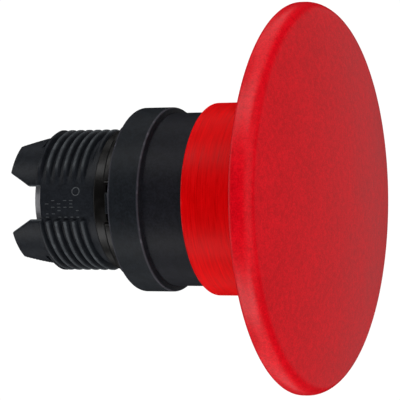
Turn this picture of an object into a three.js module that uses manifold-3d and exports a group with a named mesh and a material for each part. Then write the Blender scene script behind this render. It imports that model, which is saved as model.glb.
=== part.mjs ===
// A 22 mm panel push button head with a 60 mm mushroom cap, spring return, no contact block.
//
// Millimetres. Every piece is first drawn about the local Z axis: Z = 0 is the panel's front
// face, +Z points out of the panel towards the operator, +Y is up. The exported group turns
// that frame so that the cap faces -Y and +Z is up, with the origin on the axis at the panel.

import * as THREE from "three";
import { mergeVertices } from "three/addons/utils/BufferGeometryUtils.js";
import Module from "manifold-3d";

const wasm = await Module();
wasm.setup();

// ---------------------------------------------------------------- driving dimensions

const FIT_GAP = 0.3; // clearance that every piece keeps to its neighbours
const CUT_MARGIN = 1.0; // how far a cutting tool runs past the face that it cuts

const CAP = {
  radius: 30.0,
  backFace: 29.44,
  backEdgeRadius: 1.2,
  frontEdgeRadius: 1.4,
  frontEdgeCentre: 31.22,
  rimSlope: 12.0, // degrees that the dome still falls at its edge
  rimWall: 2.7,
  faceWall: 2.5,
  collarOuterRadius: 17.0,
  collarRear: 28.8,
  hubFace: 32.5,
  bossRadius: 4.9,
  bossRear: 31.4,
  ribCount: 12,
  ribThickness: 1.2,
  ribRear: 30.1,
};

const SKIRT = {
  outerRadius: 14.93,
  innerRadius: 13.83,
  rear: 15.25,
  flangeRear: 30.9,
  flangeFront: 32.2,
  edge: 0.35,
};

const NECK = { outerRadius: 13.5, innerRadius: 12.0, rear: 6.3, floorFront: 7.6, front: 22.0, chamfer: 0.4 };

const BEZEL = {
  outerRadius: 14.4,
  rear: 2.8,
  lipFront: 3.9,
  lipRadius: 11.2,
  front: 8.5,
  edgeRadius: 0.45,
  frontEdgeRadius: 1.15,
};

const GASKET = {
  outerRadius: 12.6,
  innerRadius: 10.4,
  sleeveRadius: 11.0, // the thin sleeve that lines the panel hole
  sleeveRear: -1.15,
  reliefRadius: 11.3,
  reliefDepth: 0.2,
  rear: 1.0, // the face that seals against the panel
  front: 2.5,
  bevel: 0.35,
};

// The key that stops the head turning in its panel hole, and the gasket's notch round it.
const KEY = { width: 3.2, reach: 11.9, rear: 1.3, front: 2.5, notchWidth: 6.4 };

const THREAD = {
  crestRadius: 10.95,
  rootRadius: 10.1,
  pitch: 1.5,
  crestWidth: 0.62,
  rootWidth: 1.4,
  topCrest: -9.9, // height of the first full crest at twelve o'clock
  startTurn: -1.15, // turns from that crest back to where the ridge begins
  endTurn: 5.15, // turns from that crest on to where the ridge runs out
  runOut: 0.12, // turn over which each end of the ridge fades
  padHalfAngle: 15.6, // smooth marking pads at three and nine o'clock, in degrees
  padFade: 17.4, // degrees over which the crest fades before a pad
  stepsPerTurn: 24,
};

const BODY = {
  clawChamfer: 0.35,
  claws: -16.4, // rear end of the two claws
  gapFloor: -10.75, // rear end of the tube between the claws
  clawFlare: -13.0, // height from which the gap widens towards the rear
  gapHalfWidth: 2.72,
  flaredHalfWidth: 4.77,
  rampRear: 8.7, // the catch's ramp: its height at the claw's rear end and at the latch face
  rampFront: 10.0,
  catchFront: -12.5,
  slotFloor: 8.6, // the slot behind the latch face
  slotFront: -11.6,
  boreRadius: 9.35,
  boreFlat: 7.75,
  webRear: -1.7,
  webFront: 4.6,
  bushHoleRadius: 7.2,
  recessRadius: 9.3,
  spigotRadius: 10.1,
  spigotFront: 7.9,
  seatRadius: 10.85,
  seatRear: 2.8,
  flangeRadius: 13.4,
  flangeRear: 4.2,
  flangeFront: 6.0,
  grooveInner: 11.2,
  grooveOuter: 12.8,
  grooveFloor: 5.0,
};

const STEM = {
  radius: 6.0,
  boreRadius: 3.4,
  shoulder: -4.3,
  tailRadius: 4.8,
  tailRear: -8.6,
  clipGrooveRadius: 4.3,
  wallRear: 24.5,
  flangeRadius: 9.0,
  flangeRear: 26.1,
  flangeFront: 28.1,
  spigotRadius: 5.0,
  spigotFront: 31.0,
  screwHoleRadius: 1.75,
  grooveInner: 6.7,
  grooveOuter: 8.5,
  grooveFloor: 27.0,
};

const HUB = {
  discRear: 28.4,
  discFront: 30.6,
  discRadius: 13.5,
  holeRadius: 5.3,
  sleeveInner: 9.3,
  sleeveOuter: 10.4,
  sleeveRear: 13.8,
  collarRadius: 11.2,
  sealRear: 14.5,
  sealFront: 17.5,
  collarWidth: 0.7,
};

const PUSHER = {
  radius: 9.0,
  innerRadius: 7.6,
  flat: 7.4,
  innerFlat: 6.2,
  rear: -12.35, // the full stroke brings it just past the claws, to work a contact block
  front: -2.0,
  webRear: -6.3,
  webFront: -4.6,
  holeRadius: 5.1,
  tipStep: 0.15,
  tipLength: 0.9,
  ribThickness: 1.0,
  ribRear: -8.8,
};

const CLIP = { rear: -7.6, front: -6.8, innerRadius: 4.55, outerRadius: 5.8, gapHalfWidth: 1.6 };
const BUSH = {
  innerRadius: 6.2,
  outerRadius: 6.9,
  rear: -1.4,
  flangeRear: 4.9,
  front: 5.6,
  flangeRadius: 8.9,
};

const REAR_WASHER = { innerRadius: 6.6, outerRadius: 8.9, rear: 5.9, front: 6.4 };
const FRONT_WASHER = { innerRadius: 6.4, outerRadius: 8.8, rear: 25.2, front: 25.8 };
const BUMP_STOP = { innerRadius: 9.5, outerRadius: 11.4, rear: 8.2, front: 9.1 };
const NECK_O_RING = { ringRadius: 12.0, sectionRadius: 0.4, height: 5.5 };
const STEM_O_RING = { ringRadius: 7.6, sectionRadius: 0.4, height: 27.6 };

const WIPER = {
  innerRadius: 10.7,
  bodyRadius: 11.25,
  lipRadius: 11.7,
  rear: 14.8,
  front: 17.2,
  lipWidth: 0.8,
  lipSlant: 0.2,
};

const INSERT = { radius: 2.3, boreRadius: 1.7, rear: 31.7, front: 34.1, knurls: 16, knurlDepth: 0.18 };
const LOCK_WASHER = { innerRadius: 1.75, outerRadius: 2.9, rear: 23.7, front: 24.2 };

const SCREW = {
  shankRadius: 1.4,
  headRadius: 2.75,
  headRear: 21.6,
  headFront: 23.4,
  tip: 33.7,
  chamfer: 0.4,
  recessWidth: 0.8,
  recessReach: 1.7,
  recessDepth: 1.1,
};

const SPRING = {
  coilRadius: 7.7,
  wireRadius: 0.55,
  rear: 7.25,
  front: 24.35,
  turns: 7,
  closedCoilRise: 1.21,
  stepsPerTurn: 12,
  sides: 6,
};

const WALL_OVERLAP = 0.5; // how far a rib or ridge is sunk into the wall that it joins
const TURN_STEPS = 36; // facets round a turned piece
const SMALL_TURN_STEPS = 20; // facets round a small turned piece

const MATERIALS = {
  capRed: finish(0xb8202a, 0.55, 0.0),
  skirtRed: finish(0xc00808, 0.3, 0.0),
  black: finish(0x1e1f22, 0.5, 0.0),
  rubber: finish(0x171412, 0.35, 0.0),
  grey: finish(0x6b6c70, 0.35, 0.0),
  steel: finish(0xb9bcc0, 0.3, 1.0),
  brass: finish(0xb5892f, 0.35, 1.0),
};

function finish(color, roughness, metalness) {
  return new THREE.MeshStandardMaterial({ color, roughness, metalness });
}

// ---------------------------------------------------------------- solid helpers

/** Joins a geometry's shared vertices and drops the triangles that collapse. */
function weld(geometry) {
  const bare = geometry.clone();
  bare.deleteAttribute("normal");
  bare.deleteAttribute("uv");
  const merged = mergeVertices(bare, 1e-4);
  const index = merged.index.array;
  const kept = [];
  for (let i = 0; i < index.length; i += 3) {
    const [a, b, c] = [index[i], index[i + 1], index[i + 2]];
    if (a !== b && b !== c && c !== a) {
      kept.push(a, b, c);
    }
  }
  merged.setIndex(kept);
  return merged;
}

function toSolid(geometry) {
  const welded = weld(geometry);
  const vertProperties = new Float32Array(welded.attributes.position.array);
  const triVerts = new Uint32Array(welded.index.array);
  return new wasm.Manifold(new wasm.Mesh({ numProp: 3, vertProperties, triVerts }));
}

function toGeometry(solid) {
  const mesh = solid.getMesh();
  const geometry = new THREE.BufferGeometry();
  geometry.setAttribute("position", new THREE.BufferAttribute(mesh.vertProperties, 3));
  geometry.setIndex(new THREE.BufferAttribute(mesh.triVerts, 1));
  geometry.computeVertexNormals();
  return geometry;
}

/** Points of an arc in the (radius, height) half-plane, both ends included; degrees from +radius. */
function arc(radius, height, size, startDegrees, endDegrees, steps) {
  const points = [];
  for (let i = 0; i <= steps; i += 1) {
    const angle = THREE.MathUtils.degToRad(startDegrees + ((endDegrees - startDegrees) * i) / steps);
    points.push([radius + size * Math.cos(angle), height + size * Math.sin(angle)]);
  }
  return points;
}

/** Turns an anticlockwise (radius, height) outline about Z; an outline off the axis is closed. */
function turned(outline, steps = TURN_STEPS) {
  const points = outline.map(([radius, height]) => new THREE.Vector2(radius, height));
  if (outline[0][0] > 0) {
    points.push(points[0].clone());
  }
  return new THREE.LatheGeometry(points, steps).rotateX(Math.PI / 2);
}

function ring(innerRadius, outerRadius, rear, front, steps = TURN_STEPS) {
  const outline = [
    [innerRadius, rear],
    [outerRadius, rear],
    [outerRadius, front],
    [innerRadius, front],
  ];
  return turned(outline, steps);
}

function disc(radius, rear, front, steps = TURN_STEPS) {
  return turned([[0, rear], [radius, rear], [radius, front], [0, front]], steps);
}

function torus({ ringRadius, sectionRadius, height }) {
  return turned(arc(ringRadius, height, sectionRadius, 0, 300, 5));
}

/** A block from its lowest and highest corners. */
function block(low, high) {
  const size = high.map((value, axis) => value - low[axis]);
  const middle = high.map((value, axis) => (value + low[axis]) / 2);
  return new THREE.BoxGeometry(...size).translate(...middle);
}

/** A prism along X whose side view is an outline of (y, z) points. */
function sidePrism(outline, lowX, highX) {
  const shape = new THREE.Shape(outline.map(([y, z]) => new THREE.Vector2(y, z)));
  const prism = new THREE.ExtrudeGeometry(shape, { depth: highX - lowX, bevelEnabled: false });
  // Shape X, shape Y and depth become local Y, Z and X.
  prism.rotateX(Math.PI / 2).rotateZ(Math.PI / 2);
  return prism.translate(lowX, 0, 0);
}

/** A round bar with two flats, one above and one below the axis. */
function flattedBar(radius, flat, rear, front) {
  const bar = toSolid(disc(radius, rear, front));
  const slab = toSolid(block([-radius - CUT_MARGIN, -flat, rear], [radius + CUT_MARGIN, flat, front]));
  return bar.intersect(slab);
}

// ---------------------------------------------------------------- cap and skirt

/** Radius of the sphere that the cap's face belongs to, and the height of its crown. */
function capDome() {
  const slope = THREE.MathUtils.degToRad(CAP.rimSlope);
  const edgeRadius = CAP.radius - CAP.frontEdgeRadius * (1 - Math.sin(slope));
  const edgeHeight = CAP.frontEdgeCentre + CAP.frontEdgeRadius * Math.cos(slope);
  const sphere = edgeRadius / Math.sin(slope);
  return { sphere, crown: edgeHeight + sphere * (1 - Math.cos(slope)) };
}

/** Height of the cap's outer face at a radius, lowered by an offset measured into the wall. */
function domeHeight(radius, offset = 0) {
  const { sphere, crown } = capDome();
  return crown - sphere + Math.sqrt((sphere - offset) ** 2 - radius ** 2);
}

function mushroomCap() {
  const { sphere, crown } = capDome();
  const innerRim = CAP.radius - CAP.rimWall;
  const collarInner = SKIRT.outerRadius + FIT_GAP;
  const insertHole = INSERT.radius + INSERT.knurlDepth + FIT_GAP;
  const insertHoleTop = INSERT.front + FIT_GAP;
  const backCentre = CAP.backFace + CAP.backEdgeRadius;
  const frontEdge = CAP.radius - CAP.frontEdgeRadius;
  const rimAngle = 90 - CAP.rimSlope;
  const outline = [
    [0, insertHoleTop],
    [insertHole, insertHoleTop],
    [insertHole, CAP.bossRear],
    [CAP.bossRadius, CAP.bossRear],
    [CAP.bossRadius, CAP.hubFace],
    [collarInner, CAP.hubFace],
    [collarInner, CAP.collarRear],
    [CAP.collarOuterRadius, CAP.collarRear],
    [CAP.collarOuterRadius, domeHeight(CAP.collarOuterRadius, CAP.faceWall)],
    [innerRim, domeHeight(innerRim, CAP.faceWall)],
    [innerRim, CAP.backFace],
    ...arc(CAP.radius - CAP.backEdgeRadius, backCentre, CAP.backEdgeRadius, -90, 0, 4),
    ...arc(frontEdge, CAP.frontEdgeCentre, CAP.frontEdgeRadius, 0, rimAngle, 5),
    ...arc(0, crown - sphere, sphere, rimAngle, 90, 7).slice(1, -1),
    [0, crown],
  ];
  let cap = toSolid(turned(outline));
  for (let i = 0; i < CAP.ribCount; i += 1) {
    cap = cap.add(toSolid(capRib((i * 2 * Math.PI) / CAP.ribCount)));
  }
  return toGeometry(cap);
}

/** One stiffening rib under the cap, from the collar to the rim. */
function capRib(angle) {
  const start = CAP.collarOuterRadius - WALL_OVERLAP;
  const end = CAP.radius - CAP.rimWall + WALL_OVERLAP;
  const half = CAP.ribThickness / 2;
  const top = domeHeight(end, CAP.faceWall) + WALL_OVERLAP;
  return block([start, -half, CAP.ribRear], [end, half, top]).rotateZ(angle);
}

function capSkirt() {
  const { outerRadius, innerRadius, rear, flangeRear, flangeFront, edge } = SKIRT;
  const hole = STEM.spigotRadius + FIT_GAP;
  return turned([
    [hole, flangeRear],
    [innerRadius, flangeRear],
    [innerRadius, rear + edge],
    [innerRadius + edge, rear],
    ...arc(outerRadius - edge, rear + edge, edge, -90, 0, 3),
    [outerRadius, flangeFront - edge],
    [outerRadius - edge, flangeFront],
    [hole, flangeFront],
  ]);
}

/** The part that carries the skirt and the cap, with the sleeve that the wiper seal sits on. */
function capHub() {
  const { sleeveInner, sleeveOuter, sleeveRear, collarRadius, collarWidth } = HUB;
  return turned([
    [HUB.holeRadius, HUB.discRear],
    [sleeveInner, HUB.discRear],
    [sleeveInner, sleeveRear],
    [collarRadius, sleeveRear],
    [collarRadius, HUB.sealRear],
    [sleeveOuter, HUB.sealRear],
    [sleeveOuter, HUB.sealFront],
    [collarRadius, HUB.sealFront],
    [collarRadius, HUB.sealFront + collarWidth],
    [sleeveOuter, HUB.sealFront + collarWidth],
    [sleeveOuter, HUB.discRear],
    [HUB.discRadius, HUB.discRear],
    [HUB.discRadius, HUB.discFront],
    [HUB.holeRadius, HUB.discFront],
  ]);
}

function wiperSeal() {
  const { innerRadius, bodyRadius, lipRadius, rear, front, lipWidth, lipSlant } = WIPER;
  return turned([
    [innerRadius, rear],
    [bodyRadius, rear],
    [bodyRadius, front - lipWidth],
    [lipRadius, front],
    [bodyRadius - lipSlant, front],
    [innerRadius, front - lipWidth],
  ]);
}

// ---------------------------------------------------------------- stem, pusher and fasteners

/** The hollow stem; the washer and the hub's disc bear on its front flange. */
function plungerStem() {
  const clipRear = CLIP.rear - FIT_GAP;
  const clipFront = CLIP.front + FIT_GAP;
  return turned([
    [STEM.screwHoleRadius, STEM.wallRear],
    [STEM.boreRadius, STEM.wallRear],
    [STEM.boreRadius, STEM.tailRear],
    [STEM.tailRadius, STEM.tailRear],
    [STEM.tailRadius, clipRear],
    [STEM.clipGrooveRadius, clipRear],
    [STEM.clipGrooveRadius, clipFront],
    [STEM.tailRadius, clipFront],
    [STEM.tailRadius, STEM.shoulder],
    [STEM.radius, STEM.shoulder],
    [STEM.radius, STEM.flangeRear],
    [STEM.flangeRadius, STEM.flangeRear],
    [STEM.flangeRadius, STEM.flangeFront],
    [STEM.grooveOuter, STEM.flangeFront],
    [STEM.grooveOuter, STEM.grooveFloor],
    [STEM.grooveInner, STEM.grooveFloor],
    [STEM.grooveInner, STEM.flangeFront],
    [STEM.spigotRadius, STEM.flangeFront],
    [STEM.spigotRadius, STEM.spigotFront],
    [STEM.screwHoleRadius, STEM.spigotFront],
  ]);
}

/** The cup at the rear end that works the contact blocks; its flats slide in the body's bore. */
function pusherRing() {
  const step = flattedBar(PUSHER.radius, PUSHER.flat, PUSHER.rear + PUSHER.tipLength, PUSHER.front);
  const tip = flattedBar(
    PUSHER.radius - PUSHER.tipStep,
    PUSHER.flat - PUSHER.tipStep,
    PUSHER.rear,
    PUSHER.front - CUT_MARGIN,
  );
  const rearHollow = flattedBar(
    PUSHER.innerRadius,
    PUSHER.innerFlat,
    PUSHER.rear - CUT_MARGIN,
    PUSHER.webRear,
  );
  const frontHollow = flattedBar(
    PUSHER.innerRadius,
    PUSHER.innerFlat,
    PUSHER.webFront,
    PUSHER.front + CUT_MARGIN,
  );
  const hole = toSolid(disc(PUSHER.holeRadius, PUSHER.rear - CUT_MARGIN, PUSHER.front + CUT_MARGIN));
  const half = PUSHER.ribThickness / 2;
  const clipRoom = toSolid(disc(CLIP.outerRadius + FIT_GAP, PUSHER.rear - CUT_MARGIN, PUSHER.webRear));
  const ribReach = PUSHER.innerRadius + half;
  const ribs = toSolid(
    block([-ribReach, -half, PUSHER.ribRear], [ribReach, half, PUSHER.webRear + half]),
  ).subtract(clipRoom);
  return toGeometry(step.add(tip).subtract(rearHollow).subtract(frontHollow).add(ribs).subtract(hole));
}

function pusherCirclip() {
  const clip = toSolid(ring(CLIP.innerRadius, CLIP.outerRadius, CLIP.rear, CLIP.front, SMALL_TURN_STEPS));
  const gap = toSolid(
    block(
      [-CLIP.gapHalfWidth, -CLIP.outerRadius - CUT_MARGIN, CLIP.rear - CUT_MARGIN],
      [CLIP.gapHalfWidth, 0, CLIP.front + CUT_MARGIN],
    ),
  );
  return toGeometry(clip.subtract(gap));
}

/** The cross-recessed screw that pulls the cap onto the stem. */
function capScrew() {
  const { shankRadius, headRadius, headRear, headFront, tip, chamfer } = SCREW;
  const screw = toSolid(
    turned([
      [0, headRear],
      [headRadius - chamfer, headRear],
      [headRadius, headRear + chamfer],
      [headRadius, headFront],
      [shankRadius, headFront],
      [shankRadius, tip - chamfer],
      [shankRadius - chamfer, tip],
      [0, tip],
    ], SMALL_TURN_STEPS),
  );
  const reach = SCREW.recessReach;
  const half = SCREW.recessWidth / 2;
  const outside = headRear - CUT_MARGIN;
  const floor = headRear + SCREW.recessDepth;
  const slotAcross = toSolid(block([-reach, -half, outside], [reach, half, floor]));
  const slotUp = toSolid(block([-half, -reach, outside], [half, reach, floor]));
  return toGeometry(screw.subtract(slotAcross).subtract(slotUp));
}

/** The brass insert moulded into the cap's boss, with a knurled outside. */
function threadedInsert() {
  const outline = new THREE.Shape();
  const points = INSERT.knurls * 2;
  for (let i = 0; i < points; i += 1) {
    const radius = INSERT.radius + (i % 2 === 0 ? INSERT.knurlDepth : 0);
    const angle = (i * 2 * Math.PI) / points;
    const move = i === 0 ? "moveTo" : "lineTo";
    outline[move](radius * Math.cos(angle), radius * Math.sin(angle));
  }
  outline.closePath();
  outline.holes.push(new THREE.Path().absarc(0, 0, INSERT.boreRadius, 0, 2 * Math.PI, true));
  const depth = INSERT.front - INSERT.rear;
  const options = { depth, bevelEnabled: false, curveSegments: SMALL_TURN_STEPS / 2 };
  return new THREE.ExtrudeGeometry(outline, options).translate(0, 0, INSERT.rear);
}

/** The return spring's centre line: open coils between one closed coil at each end. */
class SpringCurve extends THREE.Curve {
  getPoint(t, target = new THREE.Vector3()) {
    const endShare = 1 / SPRING.turns;
    const endRise = SPRING.closedCoilRise;
    const openShare = THREE.MathUtils.clamp((t - endShare) / (1 - 2 * endShare), 0, 1);
    const openRise = (SPRING.front - SPRING.rear - 2 * endRise) * openShare;
    const closedRise = (endRise * (Math.min(t, endShare) + Math.max(t - 1 + endShare, 0))) / endShare;
    const angle = 2 * Math.PI * SPRING.turns * t;
    const height = SPRING.rear + closedRise + openRise;
    return target.set(SPRING.coilRadius * Math.cos(angle), SPRING.coilRadius * Math.sin(angle), height);
  }
}

function returnSpring() {
  const section = new THREE.Shape();
  section.absarc(0, 0, SPRING.wireRadius, 0, 2 * Math.PI, false);
  const options = {
    steps: SPRING.turns * SPRING.stepsPerTurn,
    extrudePath: new SpringCurve(),
    curveSegments: SPRING.sides,
    bevelEnabled: false,
  };
  return new THREE.ExtrudeGeometry(section, options);
}

// ---------------------------------------------------------------- threaded body and its fittings

/** Share of the full crest height left at an angle round the body, in degrees from three o'clock. */
function crestShare(degrees) {
  const { padHalfAngle, padFade } = THREAD;
  const halfTurn = THREE.MathUtils.euclideanModulo(degrees, 180);
  if (halfTurn < padHalfAngle) {
    return 0;
  }
  const beforePad = 180 - padHalfAngle - halfTurn;
  return THREE.MathUtils.clamp(beforePad / padFade, 0, 1);
}

/** The right-hand ridge: a straight bar with many steps, bent round into a helix. */
function threadRidge() {
  const turns = THREAD.endTurn - THREAD.startTurn;
  const ridge = new THREE.BoxGeometry(1, 1, 1, Math.round(turns * THREAD.stepsPerTurn), 1, 1);
  const position = ridge.attributes.position;
  const sunk = THREAD.rootRadius - WALL_OVERLAP;
  const hidden = THREAD.rootRadius - WALL_OVERLAP / 2;
  for (let i = 0; i < position.count; i += 1) {
    const turn = THREAD.startTurn + (position.getX(i) + 0.5) * turns;
    const angle = 2 * Math.PI * turn + Math.PI / 2;
    const fromEnd = Math.min(turn - THREAD.startTurn, THREAD.endTurn - turn);
    const share = crestShare(THREE.MathUtils.radToDeg(angle)) * Math.min(1, fromEnd / THREAD.runOut);
    const isCrest = position.getY(i) > 0;
    const radius = isCrest ? THREE.MathUtils.lerp(hidden, THREAD.crestRadius, share) : sunk;
    const width = isCrest ? THREAD.crestWidth : THREAD.rootWidth;
    const height = THREAD.topCrest + turn * THREAD.pitch - position.getZ(i) * width;
    position.setXYZ(i, radius * Math.cos(angle), radius * Math.sin(angle), height);
  }
  return ridge;
}

/** Outside of the body as one turned blank, still without claws, bore or thread. */
function bodyBlank() {
  return turned([
    [0, BODY.claws],
    [THREAD.rootRadius - BODY.clawChamfer, BODY.claws],
    [THREAD.rootRadius, BODY.claws + BODY.clawChamfer],
    [THREAD.rootRadius, BODY.seatRear],
    [BODY.seatRadius, BODY.seatRear],
    [BODY.seatRadius, BODY.flangeRear],
    [BODY.flangeRadius, BODY.flangeRear],
    [BODY.flangeRadius, BODY.flangeFront],
    [BODY.grooveOuter, BODY.flangeFront],
    [BODY.grooveOuter, BODY.grooveFloor],
    [BODY.grooveInner, BODY.grooveFloor],
    [BODY.grooveInner, BODY.flangeFront],
    [BODY.spigotRadius, BODY.flangeFront],
    [BODY.spigotRadius, BODY.spigotFront],
    [0, BODY.spigotFront],
  ]);
}

/** What the gap between the claws takes away: straight at its floor and flared at the rear. */
function clawGap() {
  const rear = BODY.claws - CUT_MARGIN;
  const reach = THREAD.rootRadius + CUT_MARGIN;
  const outline = [
    [-BODY.gapHalfWidth, BODY.gapFloor],
    [-BODY.gapHalfWidth, BODY.clawFlare],
    [-BODY.flaredHalfWidth, BODY.claws],
    [-BODY.flaredHalfWidth, rear],
    [BODY.flaredHalfWidth, rear],
    [BODY.flaredHalfWidth, BODY.claws],
    [BODY.gapHalfWidth, BODY.clawFlare],
    [BODY.gapHalfWidth, BODY.gapFloor],
  ];
  return sidePrism(outline, -reach, reach);
}

/** Cuts the catch's ramp and the slot behind it; side is +1 for the upper claw, -1 for the lower. */
function catchCut(side) {
  const reach = THREAD.crestRadius + CUT_MARGIN;
  const rear = BODY.claws - CUT_MARGIN;
  const slope = (BODY.rampFront - BODY.rampRear) / (BODY.catchFront - BODY.claws);
  const cut = sidePrism(
    [
      [BODY.rampRear - slope * CUT_MARGIN, rear],
      [reach, rear],
      [reach, BODY.slotFront],
      [BODY.slotFloor, BODY.slotFront],
      [BODY.slotFloor, BODY.catchFront],
      [BODY.rampFront, BODY.catchFront],
    ],
    -reach,
    reach,
  );
  return side > 0 ? toSolid(cut) : toSolid(cut).rotate([0, 0, 180]);
}

/** The three hollows along the axis: flatted bore, bush hole and front recess. */
function bodyHollows() {
  const bore = flattedBar(BODY.boreRadius, BODY.boreFlat, BODY.claws - CUT_MARGIN, BODY.webRear);
  const bushHole = toSolid(disc(BODY.bushHoleRadius, BODY.webRear - CUT_MARGIN, BODY.spigotFront));
  const recess = toSolid(disc(BODY.recessRadius, BODY.webFront, BODY.spigotFront + CUT_MARGIN));
  return bore.add(bushHole).add(recess);
}

/** The key under the gasket, at nine o'clock. */
function locatingKey() {
  const half = KEY.width / 2;
  return block([-KEY.reach, -half, KEY.rear], [-THREAD.rootRadius + CUT_MARGIN, half, KEY.front]);
}

function threadedBody() {
  const blank = toSolid(bodyBlank()).add(toSolid(threadRidge())).add(toSolid(locatingKey()));
  const shaped = blank.subtract(toSolid(clawGap())).subtract(catchCut(1)).subtract(catchCut(-1));
  return toGeometry(shaped.subtract(bodyHollows()));
}

function guideNeck() {
  const hole = BODY.spigotRadius + FIT_GAP;
  return turned([
    [hole, NECK.rear],
    [NECK.outerRadius, NECK.rear],
    [NECK.outerRadius, NECK.front - NECK.chamfer],
    [NECK.outerRadius - NECK.chamfer, NECK.front],
    [NECK.innerRadius, NECK.front],
    [NECK.innerRadius, NECK.floorFront],
    [hole, NECK.floorFront],
  ]);
}

function bezelRing() {
  const { outerRadius, rear, lipFront, lipRadius, front, edgeRadius, frontEdgeRadius } = BEZEL;
  const bore = NECK.outerRadius + FIT_GAP;
  const frontCentre = outerRadius - frontEdgeRadius;
  // The rounding stops where it reaches the bore, so the front edge meets the neck.
  const stop = THREE.MathUtils.radToDeg(Math.acos((bore - frontCentre) / frontEdgeRadius));
  return turned([
    [lipRadius, rear],
    ...arc(outerRadius - edgeRadius, rear + edgeRadius, edgeRadius, -90, 0, 3),
    ...arc(frontCentre, front - frontEdgeRadius, frontEdgeRadius, 0, stop, 4),
    [bore, lipFront],
    [lipRadius, lipFront],
  ]);
}

/** The rubber ring between bezel and panel: a flange, notched round the key, and a thin sleeve. */
function panelGasket() {
  const { outerRadius, innerRadius, sleeveRadius, rear, front, bevel } = GASKET;
  const whole = turned([
    [innerRadius, GASKET.sleeveRear],
    [sleeveRadius, GASKET.sleeveRear],
    [sleeveRadius, rear + GASKET.reliefDepth],
    [GASKET.reliefRadius, rear + GASKET.reliefDepth],
    [GASKET.reliefRadius, rear],
    [outerRadius - bevel, rear],
    [outerRadius, rear + bevel],
    [outerRadius, front],
    [innerRadius, front],
  ]);
  const half = KEY.notchWidth / 2;
  const notch = block(
    [-outerRadius - CUT_MARGIN, -half, rear],
    [-innerRadius + CUT_MARGIN * 2, half, front + CUT_MARGIN],
  );
  return toGeometry(toSolid(whole).subtract(toSolid(notch)));
}

function guideBush() {
  return turned([
    [BUSH.innerRadius, BUSH.rear],
    [BUSH.outerRadius, BUSH.rear],
    [BUSH.outerRadius, BUSH.flangeRear],
    [BUSH.flangeRadius, BUSH.flangeRear],
    [BUSH.flangeRadius, BUSH.front],
    [BUSH.innerRadius, BUSH.front],
  ]);
}

function plainRing({ innerRadius, outerRadius, rear, front }) {
  return ring(innerRadius, outerRadius, rear, front, SMALL_TURN_STEPS);
}

// ---------------------------------------------------------------- the assembly

function piece(name, geometry, material) {
  const mesh = new THREE.Mesh(geometry, material);
  mesh.name = name;
  return mesh;
}

/** Pieces that stay still in the panel. */
function housing() {
  const group = new THREE.Group();
  group.add(
    piece("threaded_body", threadedBody(), MATERIALS.black),
    piece("bezel_ring", bezelRing(), MATERIALS.black),
    piece("guide_neck", guideNeck(), MATERIALS.black),
    piece("panel_gasket", panelGasket(), MATERIALS.rubber),
    piece("neck_o_ring", torus(NECK_O_RING), MATERIALS.rubber),
    piece("guide_bush", guideBush(), MATERIALS.grey),
    piece("rear_spring_washer", plainRing(REAR_WASHER), MATERIALS.steel),
    piece("bump_stop_ring", plainRing(BUMP_STOP), MATERIALS.rubber),
    piece("return_spring", returnSpring(), MATERIALS.steel),
  );
  return group;
}

/** Pieces that move together when the cap is pressed. */
function button() {
  const group = new THREE.Group();
  group.add(
    piece("mushroom_cap", mushroomCap(), MATERIALS.capRed),
    piece("cap_skirt", capSkirt(), MATERIALS.skirtRed),
    piece("cap_hub", capHub(), MATERIALS.black),
    piece("wiper_seal", wiperSeal(), MATERIALS.rubber),
    piece("plunger_stem", plungerStem(), MATERIALS.grey),
    piece("stem_o_ring", torus(STEM_O_RING), MATERIALS.rubber),
    piece("front_spring_washer", plainRing(FRONT_WASHER), MATERIALS.steel),
    piece("threaded_insert", threadedInsert(), MATERIALS.brass),
    piece("cap_screw", capScrew(), MATERIALS.steel),
    piece("screw_lock_washer", plainRing(LOCK_WASHER), MATERIALS.steel),
    piece("pusher_ring", pusherRing(), MATERIALS.grey),
    piece("pusher_circlip", pusherCirclip(), MATERIALS.steel),
  );
  return group;
}

const head = new THREE.Group();
head.name = "mushroom_head";
head.add(housing(), button());
head.rotation.x = Math.PI / 2;

export default head;
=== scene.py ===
"""Looks of a 22 mm panel push button head with a 60 mm mushroom cap, built round its CAD frame.

Sizes in the classes are millimetres. A place on the head is given by its radius from the axis,
its clock angle, from 12 o'clock towards 9 o'clock, and its height, forward from the panel's face.
"""

import logging
import math
from dataclasses import dataclass, field
from enum import Enum
from typing import Callable, Optional, Sequence, Union

import bmesh
import bpy
import numpy as np
from mathutils import Matrix, Vector


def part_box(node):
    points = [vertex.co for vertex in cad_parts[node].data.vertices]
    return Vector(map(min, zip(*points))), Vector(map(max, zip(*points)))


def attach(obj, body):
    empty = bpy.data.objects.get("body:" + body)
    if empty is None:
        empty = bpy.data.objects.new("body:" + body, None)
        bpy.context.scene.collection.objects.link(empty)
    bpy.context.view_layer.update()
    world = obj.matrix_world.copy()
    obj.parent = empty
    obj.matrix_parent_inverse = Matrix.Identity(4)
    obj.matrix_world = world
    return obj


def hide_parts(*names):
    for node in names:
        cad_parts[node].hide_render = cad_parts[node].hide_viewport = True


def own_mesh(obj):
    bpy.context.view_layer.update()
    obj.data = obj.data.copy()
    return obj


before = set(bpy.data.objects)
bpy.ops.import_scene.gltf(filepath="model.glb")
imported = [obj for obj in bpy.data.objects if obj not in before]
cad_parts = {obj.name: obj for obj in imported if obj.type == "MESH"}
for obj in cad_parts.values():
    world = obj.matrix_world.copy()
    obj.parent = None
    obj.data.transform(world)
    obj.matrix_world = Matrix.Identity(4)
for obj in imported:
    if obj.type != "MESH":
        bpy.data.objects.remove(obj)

MM = 0.001
FULL_TURN = 2.0 * math.pi
LOG = logging.getLogger("mushroom_head")

Point2 = tuple[float, float]
Corner = tuple[float, float, float]
Point3 = tuple[float, float, float]
Colour = tuple[float, float, float, float]


class Body(Enum):
    """The two CAD bodies that pieces ride on."""

    HOUSING = "housing"
    BUTTON = "button"


class Detail(Enum):
    """How many facets a piece has round its axis."""

    FINE = 240
    PLAIN = 144
    SMALL = 72


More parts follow.
